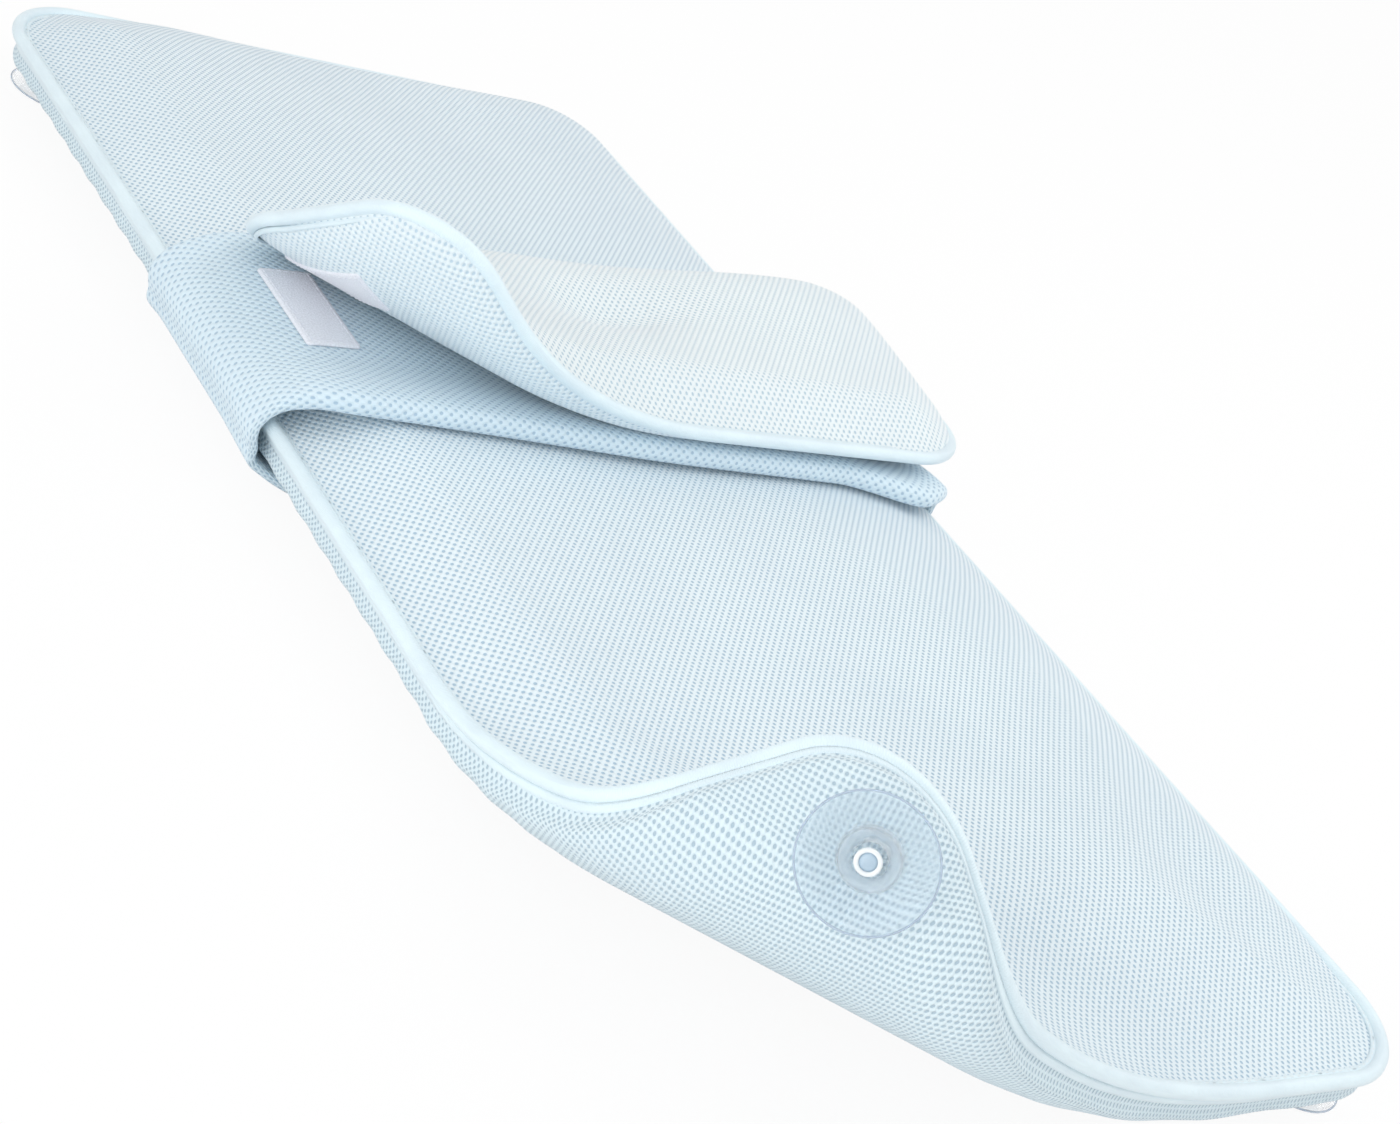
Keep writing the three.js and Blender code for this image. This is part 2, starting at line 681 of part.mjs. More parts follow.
// One sheet of the sleeve, above the mat (up is 1) or below it (up is -1)
function sleevePanel(section, up, nearRoll) {
  const ordered = up > 0 ? section : [...section].reverse();
  const sheet = (outside) => sleeveRows(nearRoll).map(([y, thickness]) => (
    ordered.map(([x, z, outX, outZ]) => {
      const reach = outside * thickness;
      return new THREE.Vector3(
        x + outX * reach, y + sleeveShift(x, y), seamHeight + up * (z + outZ * reach),
      );
    })
  ));
  return gridSolid(sheet(1), sheet(0));
}

const sleeveUpper = sleevePanel(sleeveSection(MAT_RISE, MAT_CROWN, MAT_RIM), 1, SLEEVE_NEAR_ROLL);
const sleeveLower = sleevePanel(sleeveSection(MAT_DROP, 0, MAT_UNDER_RIM), -1, SLEEVE_ROLL);
addPiece(cushion, 'sleeve_top_panel', sleeveUpper, sleeveBlue);
addPiece(cushion, 'sleeve_bottom_panel', sleeveLower, sleeveBlue);

const sleeveTop = (x) => {
  const edge = mat.halfX - Math.abs(x);
  const pad = MAT_RISE * rimShare(edge, MAT_RIM) + MAT_CROWN * crownShare(edge, mat.halfX);
  return pad + SLEEVE_CLEARANCE + SLEEVE_THICKNESS;
};

// Flap: a thin pad whose far cord lies on the sleeve and is the hinge

const flap = new Pad(MAT_WIDTH + 2 * FLAP_OVERHANG, FLAP_LENGTH, FLAP_CORNER_RADIUS, 0);
const peel = new CornerRoll([-flap.halfX, -flap.halfY], PEEL_LENGTH_LEFT, PEEL_LENGTH_NEAR,
  PEEL_RADIUS_LEFT, PEEL_RADIUS_NEAR, PEEL_ANGLE, PEEL_ANGLE, 1);
const hingeY = sleeveFar - FLAP_SETBACK;
const sleeveCrest = sleeveTop(0) + SLEEVE_ROLL - SLEEVE_THICKNESS;
const hingeHeight = seamHeight + sleeveCrest + GAP + CORD_RADIUS;

const flapTop = (x, y) => {
  const edge = flap.edge(x, y);
  return FLAP_RISE * rimShare(edge, FLAP_RIM) + FLAP_CROWN * crownShare(edge, flap.halfY);
};
const flapUnder = (x, y) => -FLAP_DROP * rimShare(flap.edge(x, y), FLAP_RIM);
const onFlap = (x, y, z) => peel.place(x, y, z).sub(new THREE.Vector3(0, flap.halfY, 0));

const flapColumns = [0, 0.015, 0.045, 0.1, 0.18, 0.28, 0.38, 0.5, 0.68, 0.86, 0.955, 0.985, 1];
const flapEnds = [0, 0.15, 0.4, 0.88].map((share) => share * FLAP_RIM);
const flapLevels = endWeightedSteps(
  -flap.halfY + edgeInset, flap.halfY - edgeInset, flapEnds, FLAP_ROW_STEP,
);
const flapRows = flapLevels.map((y) => {
  const half = flap.halfWidthAt(y, edgeInset);
  return flapColumns.map((share) => [half * (2 * share - 1), y]);
});

const flapGroup = new THREE.Group();
flapGroup.position.set(0, hingeY, hingeHeight);
flapGroup.rotation.x = -radians(FLAP_TILT);
cushion.add(flapGroup);

const flapInnerTop = (x, y) => flapTop(x, y) - FLAP_PANEL * rimShare(flap.edge(x, y), FLAP_RIM);
const flapInnerUnder = (x, y) => flapUnder(x, y) + FLAP_PANEL * rimShare(flap.edge(x, y), FLAP_RIM);
const flapLayers = [
  ['flap_top_panel', flapInnerTop, flapTop, meshBlue],
  ['flap_filling', (x, y) => flapInnerUnder(x, y) + GAP, (x, y) => flapInnerTop(x, y) - GAP, fillingWhite],
  ['flap_under_panel', flapUnder, flapInnerUnder, meshBlue],
];
for (const [name, under, over, material] of flapLayers) {
  addPiece(flapGroup, name, slab(flapRows, under, over, onFlap), material);
}
const flapCord = flap.stations(FLAP_CORD_STEP, ARC_STEPS).map((distance) => flap.at(distance));
addPiece(flapGroup, 'flap_piping', cordSolid(flapCord, true, onFlap), satinBlue);

// Hook-and-loop patches: loop on the sleeve's top, hook under the flap

const patchColumns = [0, 0.25, 0.5, 0.75, 1];
const patchSteps = [0, 0.25, 0.5, 0.75, 1];

function patchRows(centreX, centreY) {
  return patchSteps.map((step) => patchColumns.map((share) => [
    centreX + PATCH_WIDTH * (share - 0.5), centreY + PATCH_LENGTH * (step - 0.5),
  ]));
}

const onSleeve = (x, y, z) => new THREE.Vector3(x, y, seamHeight + z);
for (const [side, sign] of [['left', -1], ['right', 1]]) {
  const centreX = sign * (mat.halfX - PATCH_FROM_SIDE);
  const loopRows = patchRows(centreX, hingeY - PATCH_FROM_HINGE);
  const loop = slab(loopRows, (x) => sleeveTop(x) + GAP, (x) => sleeveTop(x) + GAP + PATCH_THICKNESS,
    onSleeve);
  addPiece(cushion, `loop_patch_${side}`, loop, patchLilac);
  const hookRows = patchRows(centreX, flap.halfY - PATCH_FROM_HINGE);
  const hook = slab(hookRows, (x, y) => flapUnder(x, y) - PATCH_GAP - PATCH_THICKNESS,
    (x, y) => flapUnder(x, y) - PATCH_GAP, onFlap);
  addPiece(flapGroup, `hook_patch_${side}`, hook, patchLilac);
}

export default cushion;
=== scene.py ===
# Full-body bath cushion: a padded spacer-mesh mat with a corded edge and one corner turned up, a sleeve
# that slides along it, a padded flap sewn to the sleeve, hook-and-loop patches and clear suction cups.

import math

import bmesh
import bpy
import numpy as np
from mathutils import Matrix, Vector


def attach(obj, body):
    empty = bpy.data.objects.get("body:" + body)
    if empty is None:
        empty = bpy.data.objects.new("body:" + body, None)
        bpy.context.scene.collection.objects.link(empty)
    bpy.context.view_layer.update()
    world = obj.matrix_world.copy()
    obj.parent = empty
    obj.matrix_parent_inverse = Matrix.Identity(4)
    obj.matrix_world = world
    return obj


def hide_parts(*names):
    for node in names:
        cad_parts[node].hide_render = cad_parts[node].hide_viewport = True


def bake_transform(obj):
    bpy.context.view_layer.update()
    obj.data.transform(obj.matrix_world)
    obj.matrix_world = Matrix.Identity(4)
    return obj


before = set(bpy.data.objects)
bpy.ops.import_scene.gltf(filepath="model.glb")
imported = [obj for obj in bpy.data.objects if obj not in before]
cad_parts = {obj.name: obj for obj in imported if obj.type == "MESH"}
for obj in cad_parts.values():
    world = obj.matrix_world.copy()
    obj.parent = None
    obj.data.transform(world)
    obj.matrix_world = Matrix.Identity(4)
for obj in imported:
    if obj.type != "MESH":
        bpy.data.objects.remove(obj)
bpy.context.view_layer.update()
scene = bpy.context.scene
scene.view_settings.view_transform = "Standard"


# Camera: stands off the foot-left corner, above the mat, and leans over to its right,
# so the mat runs from the upper left of the frame to the lower right.

CAMERA_AT = (-0.7915, -0.8847, 0.5992)
CAMERA_HEADING = -44.58
CAMERA_PITCH = 63.48
CAMERA_ROLL = 27.69
CAMERA_LENS = 63.9

camera_data = bpy.data.cameras.new("camera")
camera_data.lens = CAMERA_LENS
camera_data.sensor_width = 36
camera_data.clip_start = 0.05
camera = bpy.data.objects.new("camera", camera_data)
camera.matrix_world = (
    Matrix.Translation(CAMERA_AT)
    @ Matrix.Rotation(math.radians(CAMERA_HEADING), 4, "Z")
    @ Matrix.Rotation(math.radians(CAMERA_PITCH), 4, "X")
    @ Matrix.Rotation(math.radians(CAMERA_ROLL), 4, "Z")
)
scene.collection.objects.link(camera)
scene.camera = camera


# Mat: two panels of pale blue spacer mesh sewn together round a fibre filling, as one closed pad.
# The foot-left corner rolls up in a cone, so the panel's underside shows there.

SEAM_HEIGHT = 0.034
MAT_SIZE = (0.420, 0.900)
MAT_CORNER = 0.052
MAT_SIDE_DRAW = 0.003
MAT_RISE = 0.020
MAT_CROWN = 0.004
MAT_DROP = 0.025
MAT_TOP_RIM = 0.058
MAT_UNDER_RIM = 0.030
ROLL_LEFT = 0.277
ROLL_FOOT = 0.322
ROLL_RADIUS_LEFT = 0.106
ROLL_RADIUS_FOOT = 0.212
ROLL_ANGLE = 107.5
ROLL_WIDE_ANGLE = 39.5
ROLL_TIGHT_SHARE = 0.25
MAT_FULL_RIM = 0.036
MAT_FOOT_RIM = 0.125
FOOT_FROM = 0.22
FOOT_BLEND = 0.14
HEAD_FROM = 0.30
RIGHT_FROM = 0.12
HEAD_FULLNESS = 0.65
RIGHT_FULLNESS = 0.55
HEAD_SAG = 0.006
HEAD_SAG_WIDTH = 0.10
DEEP_DENT = 0.0016
SHALLOW_DENT = 0.0005
UNDER_SWELL = 0.006
PUCKER_DEPTH = 0.0007
PUCKER_RUN = 0.0041
YARN_BLUE = (0.80, 0.90, 0.96)
# Hole colours are painted shade inside the mesh's holes.
HOLE_SHADE_BLUE = (0.40, 0.55, 0.67)
UNDER_YARN = (0.75, 0.88, 0.945)
UNDER_HOLE_SHADE = (0.44, 0.57, 0.66)
TOP_PITCH = (0.0041, 0.0048)
TOP_OPENING = 0.4
UNDER_PITCH = (0.0025, 0.0036)
UNDER_OPENING = 0.32
MAT_GRID = (112, 140, 18)


class Pad:
    """Rounded rectangle whose long sides may pull in a little at the middle."""

    def __init__(self, size, corner, side_draw):
        self.half_x = size[0] / 2
        self.half_y = size[1] / 2
        self.corner = corner
        self.side_draw = side_draw

    def draw(self, y):
        share = y / (self.half_y - self.corner)
        return self.side_draw * np.maximum(0, 1 - share * share)

    def edge(self, x, y):
        """Distance in from the outline."""
        out_x = np.abs(x) - (self.half_x - self.corner)
        out_y = np.abs(y) - (self.half_y - self.corner)
        beyond = np.hypot(np.maximum(out_x, 0), np.maximum(out_y, 0))
        within = np.minimum(np.maximum(out_x, out_y), 0)
        return self.corner - beyond - within - np.where(out_x > out_y, self.draw(y), 0)

    def half_width(self, y):
        out_y = np.maximum(np.abs(y) - (self.half_y - self.corner), 0)
        rounded = np.sqrt(np.maximum(0, self.corner**2 - out_y**2))
        return self.half_x - self.corner + rounded - self.draw(y)

    def outward(self, x, y):
        """Direction square to the outline, away from the middle."""
        step = 0.0001
        slope_x = self.edge(x - step, y) - self.edge(x + step, y)
        slope_y = self.edge(x, y - step) - self.edge(x, y + step)
        return slope_x / (2 * step), slope_y / (2 * step)

    def grid(self, columns, straight_rows, corner_rows):
        """Flat points in rows from the foot edge to the head edge, closer together near the outline."""
        straight = self.half_y - self.corner
        turn = np.linspace(0, math.pi / 2, corner_rows + 1)[1:]
        head = straight + self.corner * np.sin(turn)
        levels = np.concatenate([-head[::-1], np.linspace(-straight, straight, straight_rows + 1), head])
        across = np.sin(np.linspace(-math.pi / 2, math.pi / 2, columns + 1))
        y = np.repeat(levels[:, None], columns + 1, axis=1)
        return self.half_width(y) * across[None, :], y

    def outline(self, step):
        """Points round the outline, the outward and forward directions there, and the distance run."""
        points = []
        outward = []
        for side in range(4):
            facing = (side - 1) * math.pi / 2
            out = np.array([math.cos(facing), math.sin(facing)])
            forward = np.array([-out[1], out[0]])
            reach, half = (self.half_x, self.half_y) if side % 2 else (self.half_y, self.half_x)
            straight = half - self.corner
            for along in np.arange(-straight, straight, step):
                pull = self.draw(along) if side % 2 else 0
                points.append(out * (reach - pull) + forward * along)
                outward.append(out)
            centre = out * (reach - self.corner) + forward * straight
            for turn in np.arange(0, math.pi / 2, step / self.corner):
                spoke = out * math.cos(turn) + forward * math.sin(turn)
                points.append(centre + spoke * self.corner)
                outward.append(spoke)
        points = np.array(points)
        outward = np.array(outward)
        forward = np.stack([-outward[:, 1], outward[:, 0]], axis=1)
        steps = np.linalg.norm(np.roll(points, -1, axis=0) - points, axis=1)
        run = np.concatenate([[0], np.cumsum(steps)[:-1]])
        return points, outward, forward, run


class CornerRoll:
    """Conical roll of a foot-left corner: cloth past the crease turns up about a radius that grows along
    the crease, then about a share of that radius, and then runs straight."""

    def __init__(self, corner, length_left, length_foot, radii, angle, wide_angle, tight_share):
        length = math.hypot(length_left, length_foot)
        self.start = np.array([corner[0], corner[1] + length_left])
        self.along = np.array([length_foot, -length_left]) / length
        self.across = np.array([self.along[1], -self.along[0]])
        self.radius_left = radii[0]
        self.growth = (radii[1] - radii[0]) / length
        self.angle = math.radians(angle)
        self.wide = math.radians(wide_angle)
        self.tight = tight_share

    def place(self, x, y, z):
        from_x = x - self.start[0]
        from_y = y - self.start[1]
        past = np.maximum(from_x * self.across[0] + from_y * self.across[1], 0)
        along = from_x * self.along[0] + from_y * self.along[1]
        radius = np.maximum(self.radius_left + self.growth * along, self.radius_left / 2)
        course = past / radius
        turn = np.minimum(course, self.wide) + np.maximum(course - self.wide, 0) / self.tight
        turn = np.minimum(turn, self.angle)
        first = np.minimum(turn, self.wide)
        second = np.maximum(turn, self.wide)
        straight = np.maximum(0, course - self.wide - self.tight * (self.angle - self.wide))
        reach = np.sin(first) + self.tight * (np.sin(second) - math.sin(self.wide))
        reach = reach + straight * math.cos(self.angle)
        height = 1 - np.cos(first) + self.tight * (math.cos(self.wide) - np.cos(second))
        height = height + straight * math.sin(self.angle)
        shift = radius * reach - z * np.sin(turn) - past
        return np.stack(
            [x + self.across[0] * shift, y + self.across[1] * shift, radius * height + z * np.cos(turn)],
            axis=-1,
        )

    def frame(self, x, y, z):
        """Place on the rolled cloth, with directions along the crease and square to the cloth."""
        step = 0.0003
        ahead = self.along * step
        down = self.across * step
        side = self.place(x + ahead[0], y + ahead[1], z) - self.place(x - ahead[0], y - ahead[1], z)
        fall = self.place(x + down[0], y + down[1], z) - self.place(x - down[0], y - down[1], z)
        side = Vector(side).normalized()
        up = Vector(fall).cross(side).normalized()
        return Vector(self.place(x, y, z)), side, up


def soft_rim(edge, rim):
    """Rise from a seam that stands proud: level at the cord, then up to the pad's full height."""
    share = np.clip(edge / rim, 0, 1)
    return share * share * (3 - 2 * share)


def full_rim(edge, rim):
    """Bulging rim that leaves the cord straight down."""
    share = np.clip(edge / rim, 0, 1)
    return np.sqrt(1 - (1 - share) ** 2)


def crown(edge, half):
    share = np.clip(edge / half, 0, 1)
    return share * (2 - share)


def mesh_piece(name, points, faces, flat=None, runs=(None, None)):
    """Smooth mesh object; flat gives each point's place on the unrolled cloth, in metres, for its UVs.
    runs are the lengths after which the cloth closes on itself, so that no face spans the join."""
    mesh = bpy.data.meshes.new(name)
    mesh.from_pydata(np.asarray(points).tolist(), [], np.asarray(faces).tolist())
    mesh.update()
    mesh.shade_smooth()
    if flat is not None:
        cloth = np.asarray(flat)[np.asarray(faces)]
        for axis, run in enumerate(runs):
            if run is None:
                continue
            level = cloth[:, :, axis]
            joins = np.ptp(level, axis=1, keepdims=True) > run / 2
            level += np.where(joins & (level < run / 2), run, 0)
        layer = mesh.uv_layers.new(name="cloth")
        layer.data.foreach_set("uv", cloth.astype(np.float32).ravel())
    piece = bpy.data.objects.new(name, mesh)
    scene.collection.objects.link(piece)
    return piece


def quads(numbers):
    """Faces over a grid of point numbers."""
    return np.stack(
        [numbers[:-1, :-1], numbers[:-1, 1:], numbers[1:, 1:], numbers[1:, :-1]], axis=-1
    ).reshape(-1, 4)


def padded_piece(name, x, y, top, under, place, swell=(0, 0)):
    """Closed pad between two sheets that share the grid's border; material 0 is the top, 1 the underside.
    swell moves the underside's points sideways."""
    upper = np.arange(x.size).reshape(x.shape)
    lower = upper.copy()
    inside = lower[1:-1, 1:-1]
    lower[1:-1, 1:-1] = x.size + np.arange(inside.size).reshape(inside.shape)
    inner = (slice(1, -1), slice(1, -1))
    points = np.concatenate(
        [
            place(x, y, top).reshape(-1, 3),
            place(x + swell[0], y + swell[1], under)[inner].reshape(-1, 3),
        ]
    )
    flat_all = np.stack([x, y], axis=-1)
    flat = np.concatenate([flat_all.reshape(-1, 2), flat_all[inner].reshape(-1, 2)])
    top_faces = quads(upper)
    under_faces = quads(lower)[:, ::-1]
    piece = mesh_piece(name, points, np.concatenate([top_faces, under_faces]), flat)
    sides = np.concatenate([np.zeros(len(top_faces)), np.ones(len(under_faces))]).astype(np.int32)
    piece.data.polygons.foreach_set("material_index", sides)
    return piece


def new_material(name, roughness):
    material = bpy.data.materials.new(name)
    material.use_nodes = True
    shader = material.node_tree.nodes["Principled BSDF"]
    shader.inputs["Roughness"].default_value = roughness
    return material, material.node_tree, shader


def math_node(tree, operation, first, second=None):
    node = tree.nodes.new("ShaderNodeMath")
    node.operation = operation
    for socket, value in zip(node.inputs, (first, second)):
        if value is None:
            continue
        if isinstance(value, bpy.types.NodeSocket):
            tree.links.new(value, socket)
        else:
            socket.default_value = value
    return node.outputs[0]


def ramp(tree, value, low, high):
    node = tree.nodes.new("ShaderNodeMapRange")
    node.interpolation_type = "SMOOTHSTEP"
    node.inputs["From Min"].default_value = low
    node.inputs["From Max"].default_value = high
    tree.links.new(value, node.inputs["Value"])
    return node.outputs[0]


def mixed_colour(tree, share, first, second):
    node = tree.nodes.new("ShaderNodeMix")
    node.data_type = "RGBA"
    tree.links.new(share, node.inputs[0])
    for socket, value in ((node.inputs[6], first), (node.inputs[7], second)):
        if isinstance(value, bpy.types.NodeSocket):
            tree.links.new(value, socket)
        else:
            socket.default_value = (*value, 1)
    return node.outputs[2]


def varied_colour(tree, shader, share, first, second):
    """Surface colour that drifts between two colours."""
    tree.links.new(mixed_colour(tree, share, first, second), shader.inputs["Base Color"])


def bump(tree, shader, height, distance):
    node = tree.nodes.new("ShaderNodeBump")
    node.inputs["Strength"].default_value = 1
    node.inputs["Distance"].default_value = distance
    tree.links.new(height, node.inputs["Height"])
    tree.links.new(node.outputs["Normal"], shader.inputs["Normal"])


def noise(tree, vector, scale, detail):
    node = tree.nodes.new("ShaderNodeTexNoise")
    node.inputs["Scale"].default_value = scale
    node.inputs["Detail"].default_value = detail
    tree.links.new(vector, node.inputs["Vector"])
    return node.outputs["Fac"]


def cloth_map(tree):
    """Place on the unrolled cloth, in metres."""
    node = tree.nodes.new("ShaderNodeUVMap")
    node.uv_map = "cloth"
    return node.outputs["UV"]


def spacer_mesh(name, yarn, hole_shade, pitch, opening):
    """Knitted spacer mesh: staggered oval holes between raised yarn bridges over the inner layer; the
    holes' darker colour is painted shade inside them.
    """
    material, tree, shader = new_material(name, 0.72)
    cloth = cloth_map(tree)
    split = tree.nodes.new("ShaderNodeSeparateXYZ")
    tree.links.new(cloth, split.inputs[0])
    waves = []
    for axis, length in zip("XY", pitch):
        phase = math_node(tree, "MULTIPLY", split.outputs[axis], math.tau / length)
        waves.append(math_node(tree, "COSINE", phase))
    lattice = math_node(tree, "MULTIPLY", *waves)
    slack = math_node(tree, "SUBTRACT", noise(tree, cloth, 640, 2), 0.5)
    uneven = math_node(tree, "ADD", lattice, math_node(tree, "MULTIPLY", slack, 0.3))
    holes = ramp(tree, uneven, opening - 0.2, opening + 0.25)
    clouds = ramp(tree, noise(tree, cloth, 9, 3), 0.3, 0.7)
    shade = tuple(channel * 0.96 for channel in yarn)
    yarn_colour = mixed_colour(tree, clouds, yarn, shade)
    # The hole colour is painted shade inside the holes, laid on by the hole pattern.
    varied_colour(tree, shader, holes, yarn_colour, hole_shade)
    twist = math_node(tree, "MULTIPLY", noise(tree, cloth, 1500, 1), 0.25)
    bridges = math_node(tree, "SUBTRACT", twist, ramp(tree, lattice, -0.6, 0.9))
    bump(tree, shader, bridges, 0.0005)
    shader.inputs["Subsurface Weight"].default_value = 0.3
    shader.inputs["Subsurface Radius"].default_value = (0.008, 0.008, 0.008)
    shader.inputs["Sheen Weight"].default_value = 0.25
    shader.inputs["Sheen Roughness"].default_value = 0.5
    shader.inputs["Specular IOR Level"].default_value = 0.25
    return material


mat = Pad(MAT_SIZE, MAT_CORNER, MAT_SIDE_DRAW)
roll = CornerRoll(
    (-mat.half_x, -mat.half_y),
    ROLL_LEFT,
    ROLL_FOOT,
    (ROLL_RADIUS_LEFT, ROLL_RADIUS_FOOT),
    ROLL_ANGLE,
    ROLL_WIDE_ANGLE,
    ROLL_TIGHT_SHARE,
)


def on_mat(x, y, z):
    return roll.place(x, y, z) + np.array([0, 0, SEAM_HEIGHT])


def settled(x, y):
    """Broad shallow dents where the filling has settled, in metres."""
    long_wave = np.sin(x / 0.061 + y / 0.120 + 0.6) * np.sin(y / 0.083 - x / 0.150)
    short_wave = np.sin(x / 0.034 - y / 0.052) * np.sin(y / 0.041 + 1.1)
    return -DEEP_DENT * (1 + long_wave) - SHALLOW_DENT * (1 + short_wave)


def mat_top(x, y):
    """Soft rim at the foot and the left, fuller rim over the cord at the head and the right."""
    edge = mat.edge(x, y)
    at_foot = soft_rim(-FOOT_FROM - y, FOOT_BLEND)
    soft = soft_rim(edge, MAT_TOP_RIM + (MAT_FOOT_RIM - MAT_TOP_RIM) * at_foot)
    at_head = soft_rim(y - HEAD_FROM, 0.10) * soft_rim(x + 0.20, 0.10)
    at_right = soft_rim(x - RIGHT_FROM, 0.06) * soft_rim(y + 0.42, 0.10)
    fuller = np.maximum(HEAD_FULLNESS * at_head, RIGHT_FULLNESS * at_right)
    rim = soft + (full_rim(edge, MAT_FULL_RIM) - soft) * fuller
    sag = HEAD_SAG * np.exp(-(((x - 0.02) / HEAD_SAG_WIDTH) ** 2)) * soft_rim(y - 0.28, 0.15)
    pad = (MAT_RISE - sag) * rim + MAT_CROWN * crown(edge, mat.half_x)
    return pad + settled(x, y) * soft


def mat_under(x, y):
    edge = mat.edge(x, y)
    by_seam = soft_rim(edge, 0.008) * (1 - soft_rim(edge, MAT_UNDER_RIM))
    puckers = PUCKER_DEPTH * np.sin((y - 0.4 * x) / PUCKER_RUN) * by_seam
    return -MAT_DROP * full_rim(edge, MAT_UNDER_RIM) + puckers


def under_swell(edge):
    """How far the soft underside bulges out over the cord's line."""
    return UNDER_SWELL * soft_rim(edge - 0.001, 0.007) * (1 - soft_rim(edge - 0.008, 0.024))


def bend_with_corner(piece):
    """Bakes the piece's placing into its mesh."""
    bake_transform(piece)


mesh_top = spacer_mesh("mat mesh", YARN_BLUE, HOLE_SHADE_BLUE, TOP_PITCH, TOP_OPENING)
mesh_under = spacer_mesh("underside mesh", UNDER_YARN, UNDER_HOLE_SHADE, UNDER_PITCH, UNDER_OPENING)

mat_x, mat_y = mat.grid(*MAT_GRID)
mat_swell = [under_swell(mat.edge(mat_x, mat_y)) * share for share in mat.outward(mat_x, mat_y)]
mat_pad = padded_piece(
    "mat_pad", mat_x, mat_y, mat_top(mat_x, mat_y), mat_under(mat_x, mat_y), on_mat, mat_swell
)
mat_pad.data.materials.append(mesh_top)
mat_pad.data.materials.append(mesh_under)
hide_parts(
    *[
        f"{zone}_{layer}"
        for zone in ("mat", "fold", "corner")
        for layer in ("top_panel", "filling", "bottom_panel")
    ],
)
bend_with_corner(mat_pad)


# Edge binding of the mat: a cord covered in pale blue satin tape and sewn into the seam all round.
# The tape's stitched lip lies on the top panel and under the bottom panel.

CORD_ROOM = 0.0042
CORD_RADIUS = 0.0037
CORD_SIDES = 16
LIP_FROM = 0.0026
LIP_TO = 0.0060
UNDER_LIP_FROM = 0.0003
UNDER_LIP_TO = 0.0014
LIP_THICK = 0.0007
RIB_PITCH = 0.0011
MAT_OUTLINE_STEP = 0.005
STITCH_PITCH = 0.0044
STITCH_LENGTH = 0.0029
STITCH_RADIUS = 0.00042
SATIN_BLUE = (0.76, 0.89, 0.955)
THREAD_BLUE = (0.84, 0.93, 0.97)


def swept_loop(sections, outline, place):
    """Closed tubes along an outline; each section is a list of (out, height) round the tube."""
    points, outward, forward, run = outline
    all_points = []
    all_faces = []
    all_flat = []
    first = 0
    for section in sections:
        out = np.array([reach for reach, height in section])
        high = np.array([height for reach, height in section])
        x = points[:, 0:1] + outward[:, 0:1] * out[None, :]
        y = points[:, 1:2] + outward[:, 1:2] * out[None, :]
        z = np.repeat(high[None, :], len(points), axis=0)
        all_points.append(place(x, y, z).reshape(-1, 3))
        numbers = first + np.arange(x.size).reshape(x.shape)
        wrapped = np.concatenate([numbers, numbers[:1]], axis=0)
        wrapped = np.concatenate([wrapped, wrapped[:, :1]], axis=1)
        all_faces.append(quads(wrapped)[:, ::-1])
        round_run = np.arange(len(section)) * CORD_RADIUS * math.tau / len(section)
        cloth = np.stack(np.broadcast_arrays(run[:, None], round_run[None, :]), axis=-1)
        all_flat.append(cloth.reshape(-1, 2))
        first += x.size
    total = run[-1] + np.linalg.norm(points[0] - points[-1])
    runs = (total, CORD_RADIUS * math.tau)
    return np.concatenate(all_points), np.concatenate(all_faces), np.concatenate(all_flat), runs


def round_section(radius, sides):
    turn = np.arange(sides) * math.tau / sides
    return list(zip(radius * np.cos(turn), radius * np.sin(turn)))


def lip_section(surface, side, start, end):
    """Flat lip of the binding tape, on the panel's surface height at two insets from the seam."""
    inner = surface(end)
    outer = surface(start)
    rise = side * LIP_THICK
    middle = (start + end) / 2
    return [
        (-start, outer - rise),
        (-start, outer + 1.4 * rise),
        (-middle, surface(middle) + rise),
        (-end + LIP_THICK / 2, surface(end - LIP_THICK / 2) + rise),
        (-end, inner + 0.4 * rise),
        (-end, inner - rise),
    ]


def wall_lip(surface):
    """Narrow lip of the tape under the cord, against the steep side of the bottom panel."""
    levels = np.linspace(UNDER_LIP_FROM, UNDER_LIP_TO, 4)
    skin = [(-level + LIP_THICK, surface(level)) for level in levels]
    inside = [(-level - LIP_THICK, surface(level)) for level in levels[::-1]]
    return skin + inside


def stitches(name, outline, inset, height, place):
    """Row of thread stitches sunk a little into a lip, all round an outline."""
    points, outward, forward, run = outline
    total = run[-1] + np.linalg.norm(points[0] - points[-1])
    count = int(total / STITCH_PITCH)
    spots = np.searchsorted(run, np.arange(count) * total / count, side="right") - 1
    rings = np.array([(-1, 0.35), (-0.6, 0.9), (0, 1), (0.6, 0.9), (1, 0.35)])
    turn = np.arange(6) * math.tau / 6
    ahead = np.repeat(rings[:, 0] * STITCH_LENGTH / 2, len(turn))
    out = np.outer(rings[:, 1], np.cos(turn)).ravel() * STITCH_RADIUS * 1.3 - inset
    lift = np.outer(rings[:, 1], np.sin(turn)).ravel() * STITCH_RADIUS + height
    x = points[spots, 0:1] + outward[spots, 0:1] * out + forward[spots, 0:1] * ahead
    y = points[spots, 1:2] + outward[spots, 1:2] * out + forward[spots, 1:2] * ahead
    z = np.repeat(lift[None, :], count, axis=0)
    numbers = np.arange(len(ahead)).reshape(len(rings), len(turn))
    wrapped = np.concatenate([numbers, numbers[:, :1]], axis=1)
    sides = quads(wrapped).tolist()
    caps = [numbers[0].tolist(), numbers[-1][::-1].tolist()]
    faces = []
    for index in range(count):
        for face in sides + caps:
            faces.append([number + index * len(ahead) for number in face])
    mesh = bpy.data.meshes.new(name)
    mesh.from_pydata(place(x, y, z).reshape(-1, 3).tolist(), [], faces)
    mesh.update()
    mesh.shade_smooth()
    piece = bpy.data.objects.new(name, mesh)
    scene.collection.objects.link(piece)
    return piece


